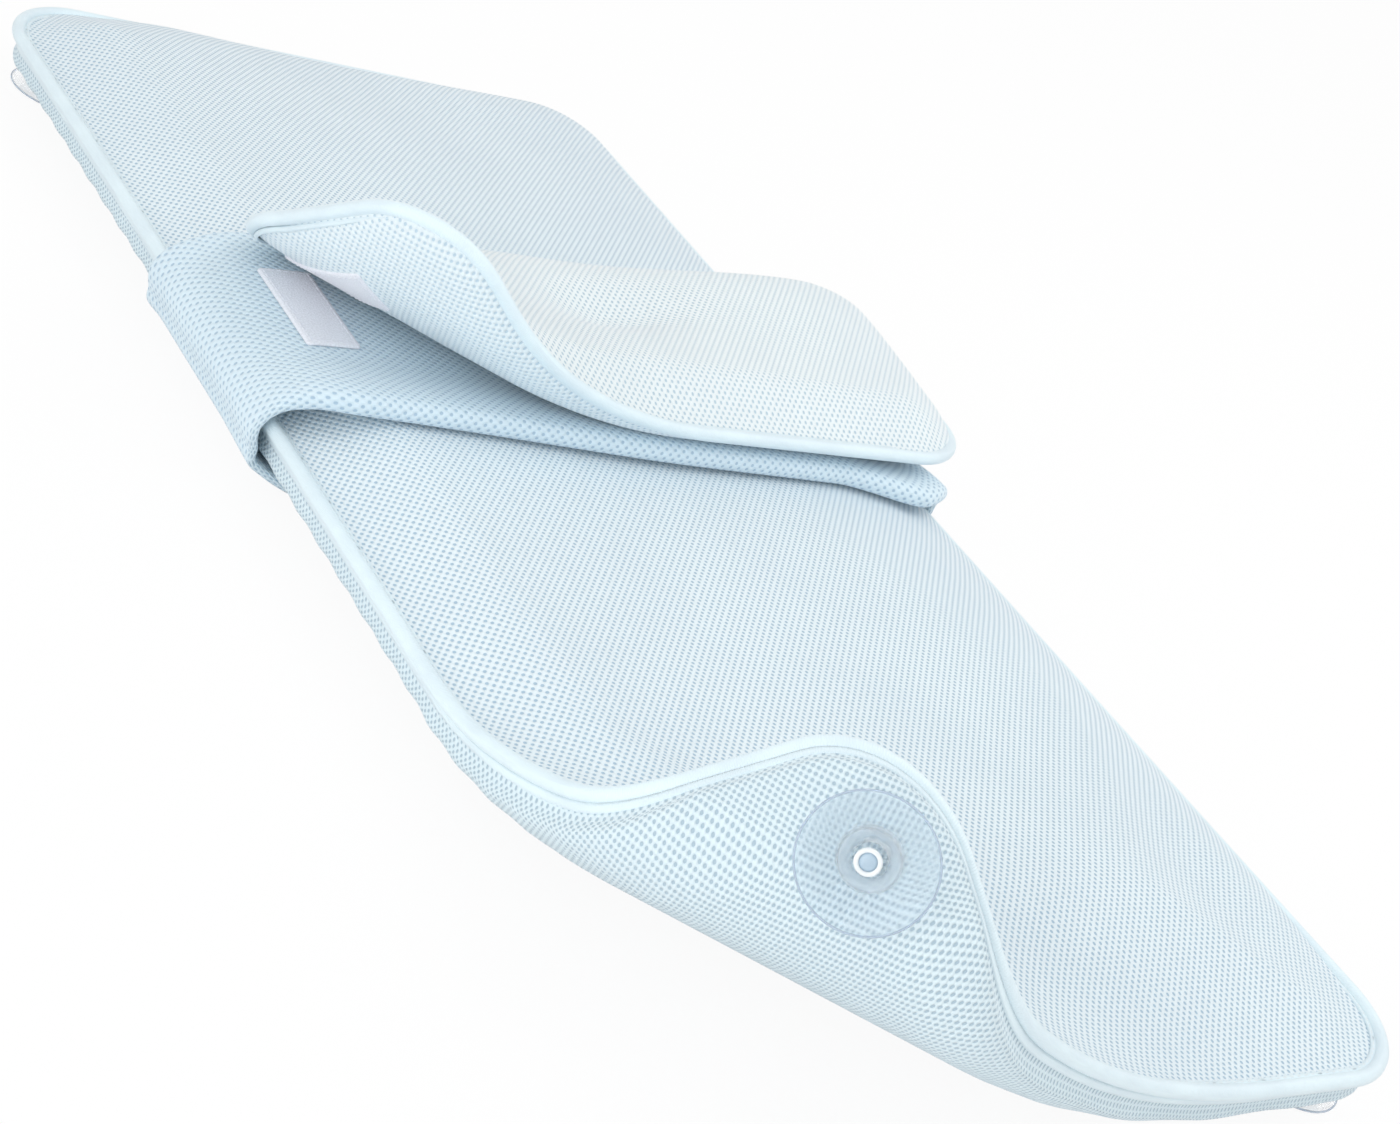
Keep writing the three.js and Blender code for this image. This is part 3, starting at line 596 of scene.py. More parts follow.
def satin(name, colour):
    """Satin tape drawn round a cord: a soft gloss broken by fine ribs across the tape."""
    material, tree, shader = new_material(name, 0.3)
    cloth = cloth_map(tree)
    split = tree.nodes.new("ShaderNodeSeparateXYZ")
    tree.links.new(cloth, split.inputs[0])
    ribs = math_node(tree, "SINE", math_node(tree, "MULTIPLY", split.outputs["X"], math.tau / RIB_PITCH))
    puckers = noise(tree, cloth, 160, 2)
    height = math_node(tree, "ADD", math_node(tree, "MULTIPLY", ribs, 0.12), puckers)
    bump(tree, shader, height, 0.0006)
    paler = tuple(min(1, channel * 1.06) for channel in colour)
    patchy = noise(tree, cloth, 30, 2)
    varied_colour(tree, shader, ramp(tree, patchy, 0.35, 0.65), colour, paler)
    shader.inputs["Sheen Weight"].default_value = 0.3
    shader.inputs["Sheen Roughness"].default_value = 0.35
    shader.inputs["Anisotropic"].default_value = 0.4
    return material


def thread(name, colour):
    material, tree, shader = new_material(name, 0.55)
    place = tree.nodes.new("ShaderNodeTexCoord")
    fuzz = noise(tree, place.outputs["Object"], 2600, 2)
    darker = tuple(channel * 0.9 for channel in colour)
    varied_colour(tree, shader, ramp(tree, fuzz, 0.3, 0.7), colour, darker)
    bump(tree, shader, fuzz, 0.0002)
    return material


satin_blue = satin("satin tape", SATIN_BLUE)
thread_blue = thread("sewing thread", THREAD_BLUE)

mat_outline = mat.outline(MAT_OUTLINE_STEP)


def mat_rim_top(edge):
    return MAT_RISE * soft_rim(edge, MAT_TOP_RIM) + MAT_CROWN * crown(edge, mat.half_x)


def mat_rim_under(edge):
    return -MAT_DROP * full_rim(edge, MAT_UNDER_RIM)


binding_sections = [
    round_section(CORD_RADIUS, CORD_SIDES),
    lip_section(mat_rim_top, 1, LIP_FROM, LIP_TO),
    wall_lip(mat_rim_under),
]
mat_binding = mesh_piece("mat_binding", *swept_loop(binding_sections, mat_outline, on_mat))
mat_binding.data.materials.append(satin_blue)
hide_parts("mat_piping", "fold_piping_left", "fold_piping_foot", "corner_piping")
bend_with_corner(mat_binding)

stitch_inset = (LIP_FROM + LIP_TO) / 2 + 0.0004
stitch_height = float(MAT_RISE * soft_rim(stitch_inset, MAT_TOP_RIM)) + LIP_THICK
mat_stitches = stitches("mat_stitches", mat_outline, stitch_inset, stitch_height, on_mat)
mat_stitches.data.materials.append(thread_blue)
bend_with_corner(mat_stitches)


# Suction cups and eyelets: clear soft vinyl cups with a mushroom head, each pressed through a vinyl
# eyelet that grips the bottom panel. In the middle of the cup's face an opaque white ring is a painted
# highlight on the rim of a small hollow, with a blue plug in it as painted shade in the hollow; a
# half-clear blue bead round the cup's rim is painted shade where the rim is seen edge on.

CUP_RADIUS = 0.028
CUP_HOLLOW = 0.0036
CUP_BOSS = 0.012
CUP_STANDOFF = 0.009
CUP_INSET = 0.037
NECK_RADIUS = 0.0067
HEAD_RADIUS = 0.010
ROUND_SIDES = 64
PANEL_THICK = 0.005
MIDDLE_CUPS = (-0.200, 0.310)
CUP_LIP = 0.0012
CUP_SEAT = 0.002
CUP_PLAY = 0.0003
HEAD_HEIGHT = 0.0035
EYELET_WALL = 0.002
EYELET_RADIUS = 0.013
EYELET_INNER_RADIUS = 0.011
EYELET_FLANGE = 0.0012
EYELET_BITE = 0.0005
RING_RADIUS = 0.0046
RING_THICK = 0.0010
CORE_RADIUS = 0.0036
CORE_DEPTH = 0.0040
LIP_BEAD = 0.0005
VINYL_CLEAR = (0.86, 0.92, 0.985)
# The ring's white is a painted highlight on the rim of the cup's middle hollow.
RING_HIGHLIGHT_WHITE = (0.90, 0.95, 0.98)
# The core's blue is painted shade inside that hollow.
CORE_SHADE_BLUE = (0.48, 0.62, 0.74)
EYELET_PALE = (0.88, 0.94, 0.98)
# The bead's blue is painted shade along the cup's rim, where it is seen edge on.
BEAD_SHADE_BLUE = (0.55, 0.66, 0.80)


def turned_piece(name, profile, closed, place):
    """Turned solid from (radius, height) points; closed joins the last point to the first."""
    profile = np.array(profile)
    turn = np.arange(ROUND_SIDES) * math.tau / ROUND_SIDES
    spokes = np.stack([np.cos(turn), np.sin(turn)], axis=-1)
    rows = np.array([[(radius * c, radius * s, height) for c, s in spokes] for radius, height in profile])
    points = rows.reshape(-1, 3)
    numbers = np.arange(len(points)).reshape(rows.shape[:2])
    wrapped = np.concatenate([numbers, numbers[:, :1]], axis=1)
    if closed:
        wrapped = np.concatenate([wrapped, wrapped[:1]], axis=0)
    faces = quads(wrapped)
    piece = mesh_piece(name, points, faces)
    mesh = piece.data
    work = bmesh.new()
    work.from_mesh(mesh)
    bmesh.ops.remove_doubles(work, verts=work.verts, dist=1e-6)
    bmesh.ops.recalc_face_normals(work, faces=work.faces)
    work.to_mesh(mesh)
    work.free()
    mesh.shade_smooth()
    piece.matrix_world = place
    return piece


def cup_place(x, y):
    """Frame at the middle of a cup's rim: Z runs from the rim into the mat."""
    spot, side, up = roll.frame(x, y, -MAT_DROP)
    axes = Matrix((side, up.cross(side), up)).transposed().to_4x4()
    return Matrix.Translation(spot + Vector((0, 0, SEAM_HEIGHT)) - up * CUP_STANDOFF) @ axes


def curve_points(low, high, count, shape):
    """Points of a profile between two (radius, height) ends; shape bends it, 1 is straight."""
    share = np.linspace(0, 1, count)
    return [
        (low[0] + (high[0] - low[0]) * step, low[1] + (high[1] - low[1]) * step**shape) for step in share
    ]


def clear_vinyl():
    """Soft clear vinyl: it lets the mesh show through and catches the light on its curved face."""
    material, tree, shader = new_material("clear vinyl", 0.05)
    place = tree.nodes.new("ShaderNodeTexCoord")
    ripples = noise(tree, place.outputs["Object"], 130, 2)
    faint = tuple(channel * 0.97 for channel in VINYL_CLEAR)
    varied_colour(tree, shader, ramp(tree, ripples, 0.3, 0.7), VINYL_CLEAR, faint)
    bump(tree, shader, ripples, 0.0004)
    shader.inputs["Transmission Weight"].default_value = 1
    shader.inputs["Alpha"].default_value = 0.35
    shader.inputs["IOR"].default_value = 1.4
    shader.inputs["Specular IOR Level"].default_value = 0.8
    return material


def frosted_vinyl(name, colour, roughness, cover):
    """Cloudy vinyl; cover is how much of what lies behind it is hidden."""
    material, tree, shader = new_material(name, roughness)
    shader.inputs["Alpha"].default_value = cover
    place = tree.nodes.new("ShaderNodeTexCoord")
    cloudy = noise(tree, place.outputs["Object"], 300, 2)
    duller = tuple(channel * 0.93 for channel in colour)
    varied_colour(tree, shader, ramp(tree, cloudy, 0.3, 0.7), colour, duller)
    bump(tree, shader, cloudy, 0.0001)
    shader.inputs["Subsurface Weight"].default_value = 0.15
    shader.inputs["Subsurface Radius"].default_value = (0.004, 0.004, 0.005)
    return material


cup_vinyl = clear_vinyl()
# Painted highlight: the opaque white ring.
highlight_ring_vinyl = frosted_vinyl("painted highlight ring vinyl", RING_HIGHLIGHT_WHITE, 0.25, 1)
# Painted shade: the blue core in the hollow.
shade_core_vinyl = frosted_vinyl("painted shade core vinyl", CORE_SHADE_BLUE, 0.2, 1)
# Painted shade: the half-clear blue bead on the rim.
shade_bead_vinyl = frosted_vinyl("painted shade bead vinyl", BEAD_SHADE_BLUE, 0.3, 0.5)
eyelet_vinyl = frosted_vinyl("eyelet vinyl", EYELET_PALE, 0.35, 0.3)

grip_low = CUP_STANDOFF + EYELET_BITE
grip_high = CUP_STANDOFF + PANEL_THICK - EYELET_BITE
eyelet_low = grip_low - EYELET_FLANGE
eyelet_high = grip_high + EYELET_FLANGE
head_low = eyelet_high + CUP_PLAY
head_high = head_low + HEAD_HEIGHT
boss_top = eyelet_low - CUP_PLAY
lip_top = (CUP_RADIUS - CUP_LIP * 0.3, CUP_LIP)
shoulder = (CUP_BOSS + 0.0008, CUP_HOLLOW + 0.0030)
cup_profile = [
    *curve_points((0, CUP_HOLLOW), (CUP_RADIUS - CUP_SEAT, 0), 14, 2),
    (CUP_RADIUS - CUP_SEAT * 0.4, 0),
    (CUP_RADIUS, CUP_LIP * 0.3),
    (CUP_RADIUS, CUP_LIP * 0.75),
    *curve_points(lip_top, shoulder, 10, 1.35),
    (CUP_BOSS, CUP_HOLLOW + 0.0036),
    (CUP_BOSS, boss_top - 0.0006),
    (CUP_BOSS - 0.0006, boss_top),
    (NECK_RADIUS, boss_top),
    (NECK_RADIUS, head_low),
    (HEAD_RADIUS - 0.0004, head_low),
    (HEAD_RADIUS, head_low + 0.0005),
    (HEAD_RADIUS - 0.0016, head_high - 0.0006),
    (HEAD_RADIUS - 0.0024, head_high),
    (0, head_high),
]
bore = NECK_RADIUS + CUP_PLAY
eyelet_profile = [
    (bore, eyelet_low + 0.0003),
    (bore + 0.0003, eyelet_low),
    (EYELET_RADIUS - 0.0005, eyelet_low),
    (EYELET_RADIUS, eyelet_low + 0.0004),
    (EYELET_RADIUS, grip_low),
    (bore + EYELET_WALL, grip_low),
    (bore + EYELET_WALL, grip_high),
    (EYELET_INNER_RADIUS, grip_high),
    (EYELET_INNER_RADIUS, eyelet_high),
    (bore, eyelet_high),
]
ring_profile = [
    (RING_RADIUS + RING_THICK * math.cos(turn), CUP_HOLLOW - 0.0004 + RING_THICK * math.sin(turn))
    for turn in np.arange(12) * math.tau / 12
]
bead_profile = [
    (CUP_RADIUS - LIP_BEAD * (1 - math.cos(turn)), CUP_LIP / 2 + LIP_BEAD * math.sin(turn))
    for turn in np.arange(8) * math.tau / 8
]
core_profile = [
    (0, CUP_HOLLOW - 0.0007),
    (CORE_RADIUS * 0.7, CUP_HOLLOW - 0.0006),
    (CORE_RADIUS, CUP_HOLLOW - 0.0002),
    (CORE_RADIUS, CUP_HOLLOW + CORE_DEPTH),
    (0, CUP_HOLLOW + CORE_DEPTH),
]

cup_spots = {
    "head_left": (-mat.half_x + CUP_INSET, mat.half_y - CUP_INSET),
    "head_right": (mat.half_x - CUP_INSET, mat.half_y - CUP_INSET),
    "foot_right": (mat.half_x - CUP_INSET, -mat.half_y + CUP_INSET),
    "foot_left": (-mat.half_x + CUP_INSET, -mat.half_y + CUP_INSET),
    "middle_foot": (0, MIDDLE_CUPS[0]),
    "middle_head": (0, MIDDLE_CUPS[1]),
}
for spot, (cup_x, cup_y) in cup_spots.items():
    seat = cup_place(cup_x, cup_y)
    holder = "corner" if spot == "foot_left" else "mat"
    cup = turned_piece(f"cup_{spot}", cup_profile, False, seat)
    cup.data.materials.append(cup_vinyl)
    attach(cup, f"cup_{spot}")
    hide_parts(f"suction_cup_{spot}")
    # Opaque white ring, painted as the highlight on the hollow's rim.
    ring = turned_piece(f"cup_highlight_ring_{spot}", ring_profile, True, seat)
    ring.data.materials.append(highlight_ring_vinyl)
    # Blue plug, painted as the shade inside the hollow.
    core = turned_piece(f"cup_shade_core_{spot}", core_profile, False, seat)
    core.data.materials.append(shade_core_vinyl)
    # Half-clear blue bead, painted as the shade along the rim.
    bead = turned_piece(f"cup_shade_bead_{spot}", bead_profile, True, seat)
    bead.data.materials.append(shade_bead_vinyl)
    for inset_piece in (ring, core, bead):
        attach(inset_piece, f"cup_{spot}")
    eyelet = turned_piece(f"eyelet_ring_{spot}", eyelet_profile, True, seat)
    eyelet.data.materials.append(eyelet_vinyl)
    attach(eyelet, holder)
    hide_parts(f"eyelet_{spot}")


# Sleeve: a loop of spacer mesh drawn round the middle of the mat, so it can slide along; its yarn is
# painted darker and bluer than the mat's, as shade under the flap.
# Its two edges are turned in and sewn as soft rolls, with no binding.

SLEEVE_NEAR = -0.030
SLEEVE_LENGTH = 0.182
SLEEVE_DRAWN = 0.0035
SLEEVE_SKEW = 0.026
SLEEVE_HOOK = 0.014
SLEEVE_HOOK_FROM = 0.115
SLEEVE_HOOK_BLEND = 0.060
SLEEVE_CURL = 0.011
SLEEVE_CURL_FROM = 0.175
SLEEVE_CURL_BLEND = 0.035
SLEEVE_TUCK = 0.031
SLEEVE_TUCK_FROM = 0.040
SLEEVE_RIM = 0.036
SLEEVE_THICK = 0.005
SLEEVE_CLEARANCE = 0.001
SLEEVE_SIDE_THICK = 0.003
SLEEVE_ROLL_THICK = 0.0062
SLEEVE_SIDE_ROLL = 0.0042
SLEEVE_NEAR_ROLL = 0.0120
SLEEVE_ROLL_REACH = 0.055
# The sleeve's yarn colour is painted darker and bluer than the mat's, as shade under the flap.
SLEEVE_SHADED_BLUE = (0.72, 0.86, 0.95)
# The hole colour is painted shade inside the holes.
SLEEVE_HOLE_SHADE = (0.42, 0.57, 0.70)
SLEEVE_PITCH = (0.0054, 0.0054)
SLEEVE_OPENING = 0.5
SLEEVE_STEPS = 40
SLEEVE_UPPER_FROM = 0.002
SLEEVE_UPPER_BLEND = 0.020
SLEEVE_FAR_REACH = 0.020


def half_section(rise, crown_rise, rim, swell, steps):
    """Right half of the loop's inside, from the side to the middle: x and height."""
    turn = np.linspace(0, math.pi / 2, steps)
    edge = np.concatenate([rim * (1 - np.cos(turn)), np.linspace(rim, mat.half_x, steps)[1:]])
    reach = mat.half_x + CORD_ROOM * np.maximum(0, 1 - edge / 0.012)
    x = reach - edge + swell(edge)
    z = rise * full_rim(edge, rim) + crown_rise * crown(edge, mat.half_x)
    return x, z


def sleeve_loop(steps):
    """Closed loop round the mat, anticlockwise from the right side, and its outward directions."""
    top_x, top_z = half_section(MAT_RISE, MAT_CROWN, SLEEVE_RIM, np.zeros_like, steps)
    low_x, low_z = half_section(MAT_DROP, 0, MAT_UNDER_RIM, under_swell, steps)
    x = np.concatenate([top_x, -top_x[-2::-1], -low_x[1:], low_x[-2:0:-1]])
    z = np.concatenate([top_z, top_z[-2::-1], -low_z[1:], -low_z[-2:0:-1]])
    ahead_x = np.roll(x, -1) - np.roll(x, 1)
    ahead_z = np.roll(z, -1) - np.roll(z, 1)
    length = np.hypot(ahead_x, ahead_z)
    return x, z, ahead_z / length, -ahead_x / length


def rolled_edge(thick):
    """Round edge of the folded cloth, from its outside to its inside: distance in and thickness."""
    turn = np.linspace(math.pi / 2, -math.pi / 2, 9)
    return np.stack([thick / 2 * (1 - np.cos(turn)), thick / 2 * (1 + np.sin(turn))], axis=-1)


def sheet_line(thick_middle, near_thick, far_thick):
    """Section along the mat through one sheet: from the near edge's inside to the outside and back."""
    sleeve_far = SLEEVE_NEAR + SLEEVE_LENGTH
    near = rolled_edge(near_thick)[::-1] + (SLEEVE_NEAR, 0)
    far = rolled_edge(far_thick) * (-1, 1) + (sleeve_far, 0)
    share = np.linspace(0, 1, 26)[1:-1]
    start = near[-1, 0]
    end = far[0, 0]
    level = start + (end - start) * share
    near_share = 1 - soft_rim(level - start, SLEEVE_ROLL_REACH)
    far_share = 1 - soft_rim(end - level, SLEEVE_FAR_REACH)
    thick = thick_middle + (near_thick - thick_middle) * near_share + (far_thick - thick_middle) * far_share
    outside = np.stack([level, thick], axis=-1)
    inside = np.stack([level[::-2], np.zeros(len(level[::-2]))], axis=-1)
    return np.concatenate([near, outside, far, inside])


loop_x, loop_z, loop_out_x, loop_out_z = sleeve_loop(SLEEVE_STEPS)
upper_line = sheet_line(SLEEVE_THICK, SLEEVE_NEAR_ROLL, SLEEVE_ROLL_THICK)
lower_line = sheet_line(SLEEVE_SIDE_THICK, SLEEVE_SIDE_ROLL, SLEEVE_SIDE_ROLL)
upper_share = soft_rim(loop_z - SLEEVE_UPPER_FROM, SLEEVE_UPPER_BLEND)[:, None, None]
loop_lines = lower_line + (upper_line - lower_line) * upper_share
line_y = loop_lines[:, :, 0]
line_lift = loop_lines[:, :, 1] + SLEEVE_CLEARANCE
nearness = (SLEEVE_NEAR + SLEEVE_LENGTH - line_y) / SLEEVE_LENGTH
left_share = (np.hypot(loop_x / mat.half_x, 0.2) - loop_x / mat.half_x) / 2
tucked = SLEEVE_TUCK * np.maximum(0, 1 - (mat.half_x - loop_x) / SLEEVE_TUCK_FROM) ** 1.5
hooked = SLEEVE_HOOK * soft_rim(loop_x - SLEEVE_HOOK_FROM, SLEEVE_HOOK_BLEND)
curled = SLEEVE_CURL * soft_rim(-SLEEVE_CURL_FROM - loop_x, SLEEVE_CURL_BLEND)
skewed = nearness * (SLEEVE_DRAWN - SLEEVE_SKEW * left_share + hooked - tucked - curled)[:, None]
sleeve_points = np.stack(
    [
        loop_x[:, None] + loop_out_x[:, None] * line_lift,
        line_y - skewed,
        SEAM_HEIGHT + loop_z[:, None] + loop_out_z[:, None] * line_lift,
    ],
    axis=-1,
)
loop_run = np.concatenate([[0], np.cumsum(np.hypot(np.diff(loop_x), np.diff(loop_z)))])
line_steps = np.hypot(np.diff(upper_line[:, 0]), np.diff(upper_line[:, 1]))
line_run = np.concatenate([[0], np.cumsum(line_steps)])
sleeve_flat = np.stack(np.broadcast_arrays(loop_run[:, None], line_run[None, :]), axis=-1)
sleeve_numbers = np.arange(line_y.size).reshape(line_y.shape)
sleeve_numbers = np.concatenate([sleeve_numbers, sleeve_numbers[:1]], axis=0)
sleeve_numbers = np.concatenate([sleeve_numbers, sleeve_numbers[:, :1]], axis=1)
sleeve = mesh_piece(
    "sleeve_loop",
    sleeve_points.reshape(-1, 3),
    quads(sleeve_numbers),
    sleeve_flat.reshape(-1, 2),
    (loop_run[-1] + loop_run[1], line_run[-1] + line_steps[-1]),
)
# The sleeve mesh's darker, bluer yarn is painted shade under the flap.
shaded_sleeve_mesh = spacer_mesh("sleeve mesh painted in shade", SLEEVE_SHADED_BLUE, SLEEVE_HOLE_SHADE, SLEEVE_PITCH, SLEEVE_OPENING)
sleeve.data.materials.append(shaded_sleeve_mesh)
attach(sleeve, "sleeve")
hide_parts("sleeve_top_panel", "sleeve_bottom_panel")


def sleeve_top(x):
    edge = mat.half_x - np.abs(x)
    pad = MAT_RISE * full_rim(edge, SLEEVE_RIM) + MAT_CROWN * crown(edge, mat.half_x)
    return pad + SLEEVE_CLEARANCE + SLEEVE_THICK


# Flap: a thin padded rectangle with its own satin binding, sewn to the sleeve along its far edge.
# Its near-left corner is peeled up and shows the underside.

FLAP_SIZE = (0.428, 0.172)
FLAP_CORNER = 0.052
FLAP_SETBACK = 0.011
FLAP_RISE = 0.018
FLAP_CROWN = 0.004
FLAP_DROP = 0.004
FLAP_BELLY = 0.009
FLAP_RIM = 0.036
FLAP_TILT = 3.8
FLAP_HINGE_HEIGHT = 0.06975
PEEL_LEFT = 0.216
PEEL_NEAR = 0.231
PEEL_RADIUS_LEFT = 0.071
PEEL_RADIUS_NEAR = 0.139
PEEL_ANGLE = 55
FLAP_SOFT_RIM = 0.040
FLAP_DOME = 0.013
FLAP_DENT = 0.013
FLAP_DENT_SIZE = (0.045, 0.022)
FLAP_LEFT_DRAW = 0.013
FLAP_DRAW_FROM = 0.07
FLAP_DRAW_BLEND = 0.14
FLAP_YARN = (0.86, 0.935, 0.965)
# Hole colours here are painted shade inside the holes.
FLAP_HOLE_SHADE = (0.50, 0.64, 0.73)
FLAP_UNDER_YARN = (0.82, 0.92, 0.975)
FLAP_UNDER_HOLE_SHADE = (0.54, 0.68, 0.78)
FLAP_OPENING = 0.45
FLAP_GRID = (110, 16, 18)
FLAP_OUTLINE_STEP = 0.004

flap = Pad(FLAP_SIZE, FLAP_CORNER, 0)
peel = CornerRoll(
    (-flap.half_x, -flap.half_y),
    PEEL_LEFT,
    PEEL_NEAR,
    (PEEL_RADIUS_LEFT, PEEL_RADIUS_NEAR),
    PEEL_ANGLE,
    PEEL_ANGLE,
    1,
)
hinge_y = SLEEVE_NEAR + SLEEVE_LENGTH - FLAP_SETBACK
tilt = math.radians(FLAP_TILT)
flap_turn = np.array([[1, 0, 0], [0, math.cos(tilt), math.sin(tilt)], [0, -math.sin(tilt), math.cos(tilt)]])


def on_flap(x, y, z):
    local = peel.place(x, y, z) - np.array([0, flap.half_y, 0])
    local[..., 0] += FLAP_LEFT_DRAW * soft_rim(-FLAP_DRAW_FROM - x, FLAP_DRAW_BLEND)
    return local @ flap_turn.T + np.array([0, hinge_y, FLAP_HINGE_HEIGHT])


def flap_top(x, y):
    """Soft rim at the near-left corner, fuller rim towards the far and right sides."""
    edge = flap.edge(x, y)
    soft = soft_rim(edge, FLAP_SOFT_RIM)
    fuller = soft_rim(x / flap.half_x + y / flap.half_y + 0.5, 1.4)
    rim = soft + (full_rim(edge, FLAP_RIM) - soft) * fuller
    dome = FLAP_DOME * soft_rim(x, 0.16) * soft_rim(y + 0.05, 0.10)
    dent_x = (x - y * 0.4 + 0.005) / FLAP_DENT_SIZE[0]
    dent_y = (y - 0.012) / FLAP_DENT_SIZE[1]
    dent = FLAP_DENT * np.exp(-(dent_x**2) - dent_y**2)
    return (FLAP_RISE + dome) * rim + FLAP_CROWN * crown(edge, flap.half_y) - dent


def flap_under(x, y):
    """The underside hangs down towards the near edge, until it lies on the sleeve."""
    belly = FLAP_BELLY * (flap.half_y - y) / FLAP_SIZE[1]
    return -(FLAP_DROP + belly) * full_rim(flap.edge(x, y), FLAP_RIM)


flap_x, flap_y = flap.grid(*FLAP_GRID)
flap_pad = padded_piece(
    "flap_pad", flap_x, flap_y, flap_top(flap_x, flap_y), flap_under(flap_x, flap_y), on_flap
)
flap_pad.data.materials.append(spacer_mesh("flap mesh", FLAP_YARN, FLAP_HOLE_SHADE, TOP_PITCH, FLAP_OPENING))
flap_pad.data.materials.append(
    spacer_mesh("flap underside mesh", FLAP_UNDER_YARN, FLAP_UNDER_HOLE_SHADE, TOP_PITCH, FLAP_OPENING)
)
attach(flap_pad, "flap")
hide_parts("flap_top_panel", "flap_filling", "flap_under_panel")

flap_outline = flap.outline(FLAP_OUTLINE_STEP)


def flap_rim_top(edge):
    return FLAP_RISE * soft_rim(edge, FLAP_SOFT_RIM) + FLAP_CROWN * crown(edge, flap.half_y)


def flap_rim_under(edge):
    return -(FLAP_DROP + FLAP_BELLY / 2) * full_rim(edge, FLAP_RIM)


flap_sections = [
    round_section(CORD_RADIUS, CORD_SIDES),
    lip_section(flap_rim_top, 1, LIP_FROM, LIP_TO),
    lip_section(flap_rim_under, -1, LIP_FROM, LIP_TO - 0.0010)[::-1],
]
flap_binding = mesh_piece("flap_binding", *swept_loop(flap_sections, flap_outline, on_flap))
flap_binding.data.materials.append(satin_blue)
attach(flap_binding, "flap")
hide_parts("flap_piping")
flap_stitch_height = float(FLAP_RISE * soft_rim(stitch_inset, FLAP_SOFT_RIM)) + LIP_THICK
flap_stitches = stitches("flap_stitches", flap_outline, stitch_inset, flap_stitch_height, on_flap)
flap_stitches.data.materials.append(thread_blue)
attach(flap_stitches, "flap")


# Hook-and-loop patches: strips of pale lilac tape, loop side sewn on the sleeve's top and hook side
# under the flap, one pair near each end of the flap.

PATCH_SIZE = (0.030, 0.070)
PATCH_CORNER = 0.002
PATCH_THICK = 0.0015
PATCH_SPACING = 0.336
PATCH_FROM_HINGE = 0.061
PATCH_SEAT = 0.0003
PATCH_RIM = 0.0012
PATCH_GRID = (24, 34, 5)
PATCH_OUTLINE_STEP = 0.001
PATCH_STITCH_INSET = 0.0025
LOOP_GRAIN = 900
HOOK_GRAIN = 1400
HOOK_SINK = 0.0004
PATCH_LILAC = (0.90, 0.92, 0.985)


def pile_tape(name, colour, grain):
    """Woven tape covered in a short pile: fine speckle, no gloss."""
    material, tree, shader = new_material(name, 0.9)
    cloth = cloth_map(tree)
    pile = noise(tree, cloth, grain, 3)
    darker = tuple(channel * 0.9 for channel in colour)
    varied_colour(tree, shader, ramp(tree, pile, 0.35, 0.65), darker, colour)
    bump(tree, shader, pile, 0.0005)
    shader.inputs["Sheen Weight"].default_value = 0.4
    return material


thread_lilac = thread("patch thread", PATCH_LILAC)
loop_tape = pile_tape("loop tape", PATCH_LILAC, LOOP_GRAIN)
hook_tape = pile_tape("hook tape", PATCH_LILAC, HOOK_GRAIN)
patch = Pad(PATCH_SIZE, PATCH_CORNER, 0)
patch_x, patch_y = patch.grid(*PATCH_GRID)
patch_outline = patch.outline(PATCH_OUTLINE_STEP)
patch_rise = PATCH_THICK * full_rim(patch.edge(patch_x, patch_y), PATCH_RIM)
patch_back = np.zeros_like(patch_rise)
for side, sign in (("left", -1), ("right", 1)):
    patch_middle = sign * PATCH_SPACING / 2

    def on_sleeve(x, y, z, middle=patch_middle):
        height = SEAM_HEIGHT + sleeve_top(x + middle) + PATCH_SEAT + z
        return np.stack(np.broadcast_arrays(x + middle, y + hinge_y - PATCH_FROM_HINGE, height), axis=-1)

    def under_flap(x, y, z, middle=patch_middle):
        flap_level = y + flap.half_y - PATCH_FROM_HINGE
        height = flap_under(x + middle, flap_level) + HOOK_SINK - z
        return on_flap(x + middle, flap_level, height)

    for kind, place, tape, body in (
        ("loop", on_sleeve, loop_tape, "sleeve"),
        ("hook", under_flap, hook_tape, "flap"),
    ):
        strip = padded_piece(f"{kind}_strip_{side}", patch_x, patch_y, patch_rise, patch_back, place)
        if kind == "hook":
            strip.data.flip_normals()
        strip.data.materials.append(tape)
        strip.data.materials.append(tape)
        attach(strip, body)
        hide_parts(f"{kind}_patch_{side}")
        seam = stitches(f"{kind}_stitches_{side}", patch_outline, PATCH_STITCH_INSET, PATCH_THICK, place)
        seam.data.materials.append(thread_lilac)
        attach(seam, body)


# Floor and light: a white floor that keeps a faint shadow, an even white room, a large soft lamp high on
# the right and a weaker one low at the front left, as in a bright product studio.

FLOOR_HALF = 4.0
FLOOR_GAP = 0.0006
FLOOR_WHITE = (0.93, 0.93, 0.93)
FLOOR_GLOW = 0.93
ROOM_LIGHT = 0.785
KEY_AT = (0.9, -0.5, 1.7)
KEY_SIZE = 1.5
KEY_POWER = 11
FILL_AT = (-1.35, -0.55, 0.34)
FILL_SIZE = 1.0
FILL_POWER = 6


def seen_directly(tree):
    """1 for rays from the camera and for those seen in gloss or through clear pieces."""
    path = tree.nodes.new("ShaderNodeLightPath")
    mirrored = math_node(tree, "ADD", path.outputs["Is Camera Ray"], path.outputs["Is Glossy Ray"])
    both = math_node(tree, "ADD", mirrored, path.outputs["Is Transmission Ray"])
    return math_node(tree, "MINIMUM", both, 1)


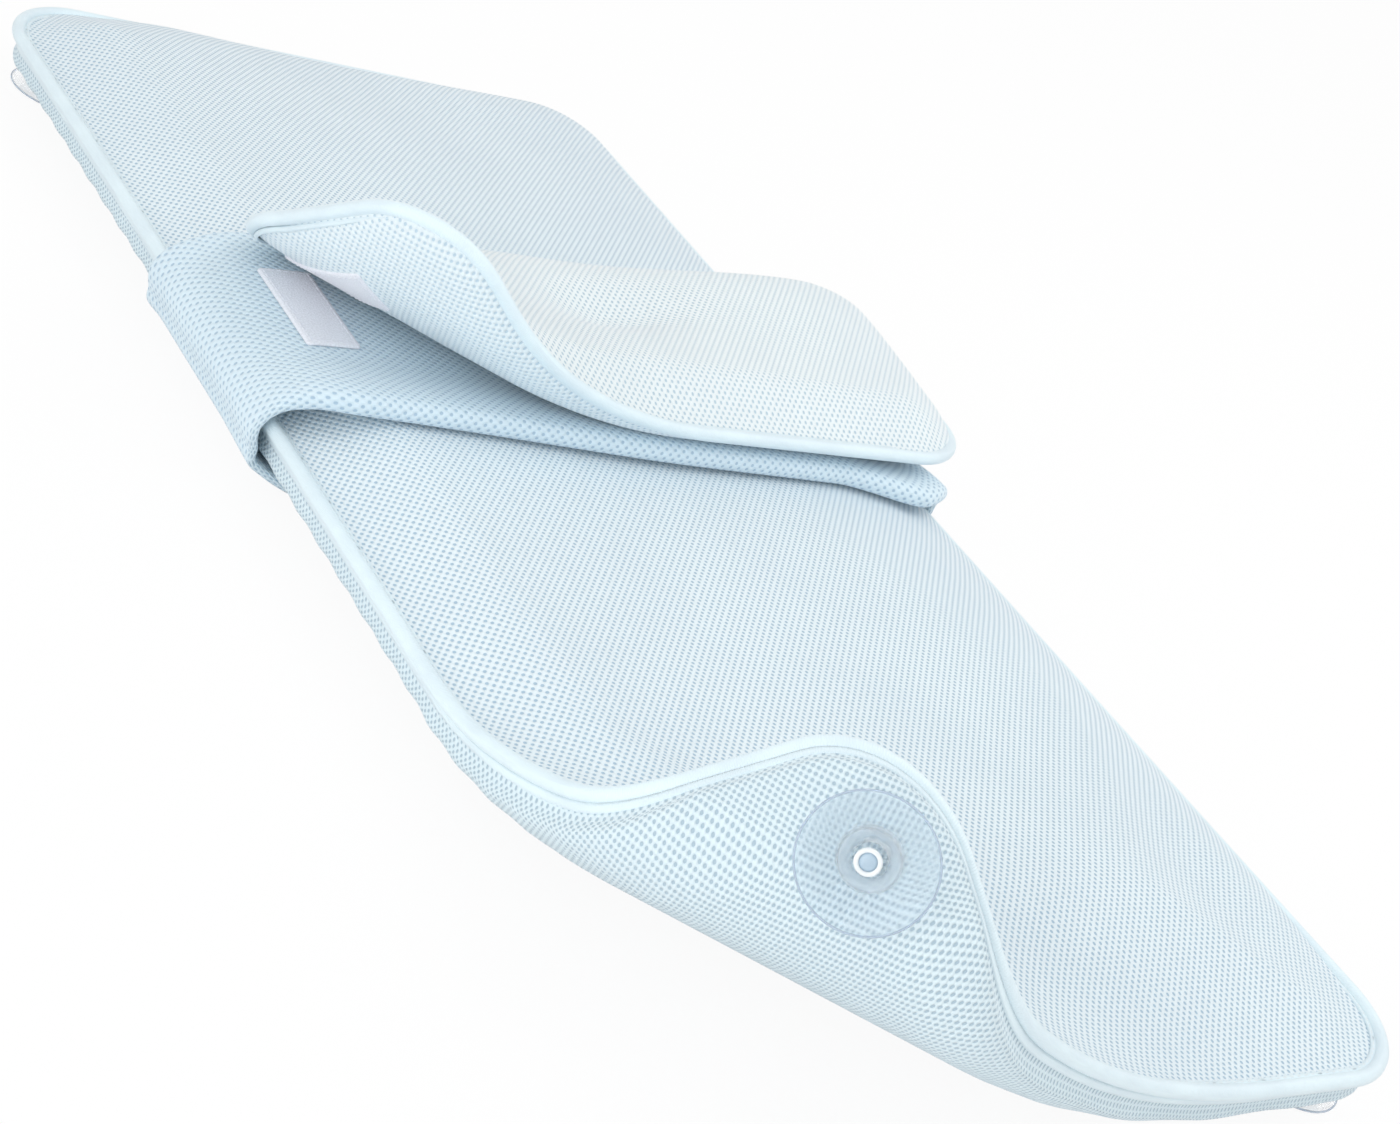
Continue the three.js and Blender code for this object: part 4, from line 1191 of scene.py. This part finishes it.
floor_corners = [(FLOOR_HALF * x, FLOOR_HALF * y, 0) for x, y in ((-1, -1), (1, -1), (1, 1), (-1, 1))]
floor = mesh_piece("floor", floor_corners, [(0, 1, 2, 3)])
floor.location.z = -FLOOR_GAP
floor_material, floor_tree, floor_shader = new_material("studio floor", 0.9)
floor_shader.inputs["Base Color"].default_value = (*FLOOR_WHITE, 1)
floor_shader.inputs["Specular IOR Level"].default_value = 0
glow = floor_tree.nodes.new("ShaderNodeEmission")
glow.inputs["Strength"].default_value = 1
blend_in = floor_tree.nodes.new("ShaderNodeMixShader")
floor_share = math_node(floor_tree, "MULTIPLY", seen_directly(floor_tree), FLOOR_GLOW)
floor_tree.links.new(floor_share, blend_in.inputs["Fac"])
floor_tree.links.new(floor_shader.outputs["BSDF"], blend_in.inputs[1])
floor_tree.links.new(glow.outputs["Emission"], blend_in.inputs[2])
floor_tree.links.new(blend_in.outputs["Shader"], floor_tree.nodes["Material Output"].inputs["Surface"])
floor.data.materials.append(floor_material)

world = bpy.data.worlds.new("studio")
scene.world = world
world.use_nodes = True
room = world.node_tree.nodes["Background"]
room.inputs["Color"].default_value = (1, 1, 1, 1)
room.inputs["Strength"].default_value = ROOM_LIGHT
backdrop = world.node_tree.nodes.new("ShaderNodeBackground")
backdrop.inputs["Color"].default_value = (1, 1, 1, 1)
backdrop.inputs["Strength"].default_value = 1
choose = world.node_tree.nodes.new("ShaderNodeMixShader")
world.node_tree.links.new(seen_directly(world.node_tree), choose.inputs["Fac"])
world.node_tree.links.new(room.outputs["Background"], choose.inputs[1])
world.node_tree.links.new(backdrop.outputs["Background"], choose.inputs[2])
world.node_tree.links.new(choose.outputs["Shader"], world.node_tree.nodes["World Output"].inputs["Surface"])

for lamp, place, size, power in (
    ("key lamp", KEY_AT, KEY_SIZE, KEY_POWER),
    ("fill lamp", FILL_AT, FILL_SIZE, FILL_POWER),
):
    lamp_data = bpy.data.lights.new(lamp, "AREA")
    lamp_data.energy = power
    lamp_data.size = size
    lamp_piece = bpy.data.objects.new(lamp, lamp_data)
    lamp_piece.location = place
    lamp_piece.rotation_euler = Vector(place).to_track_quat("Z", "Y").to_euler()
    scene.collection.objects.link(lamp_piece)
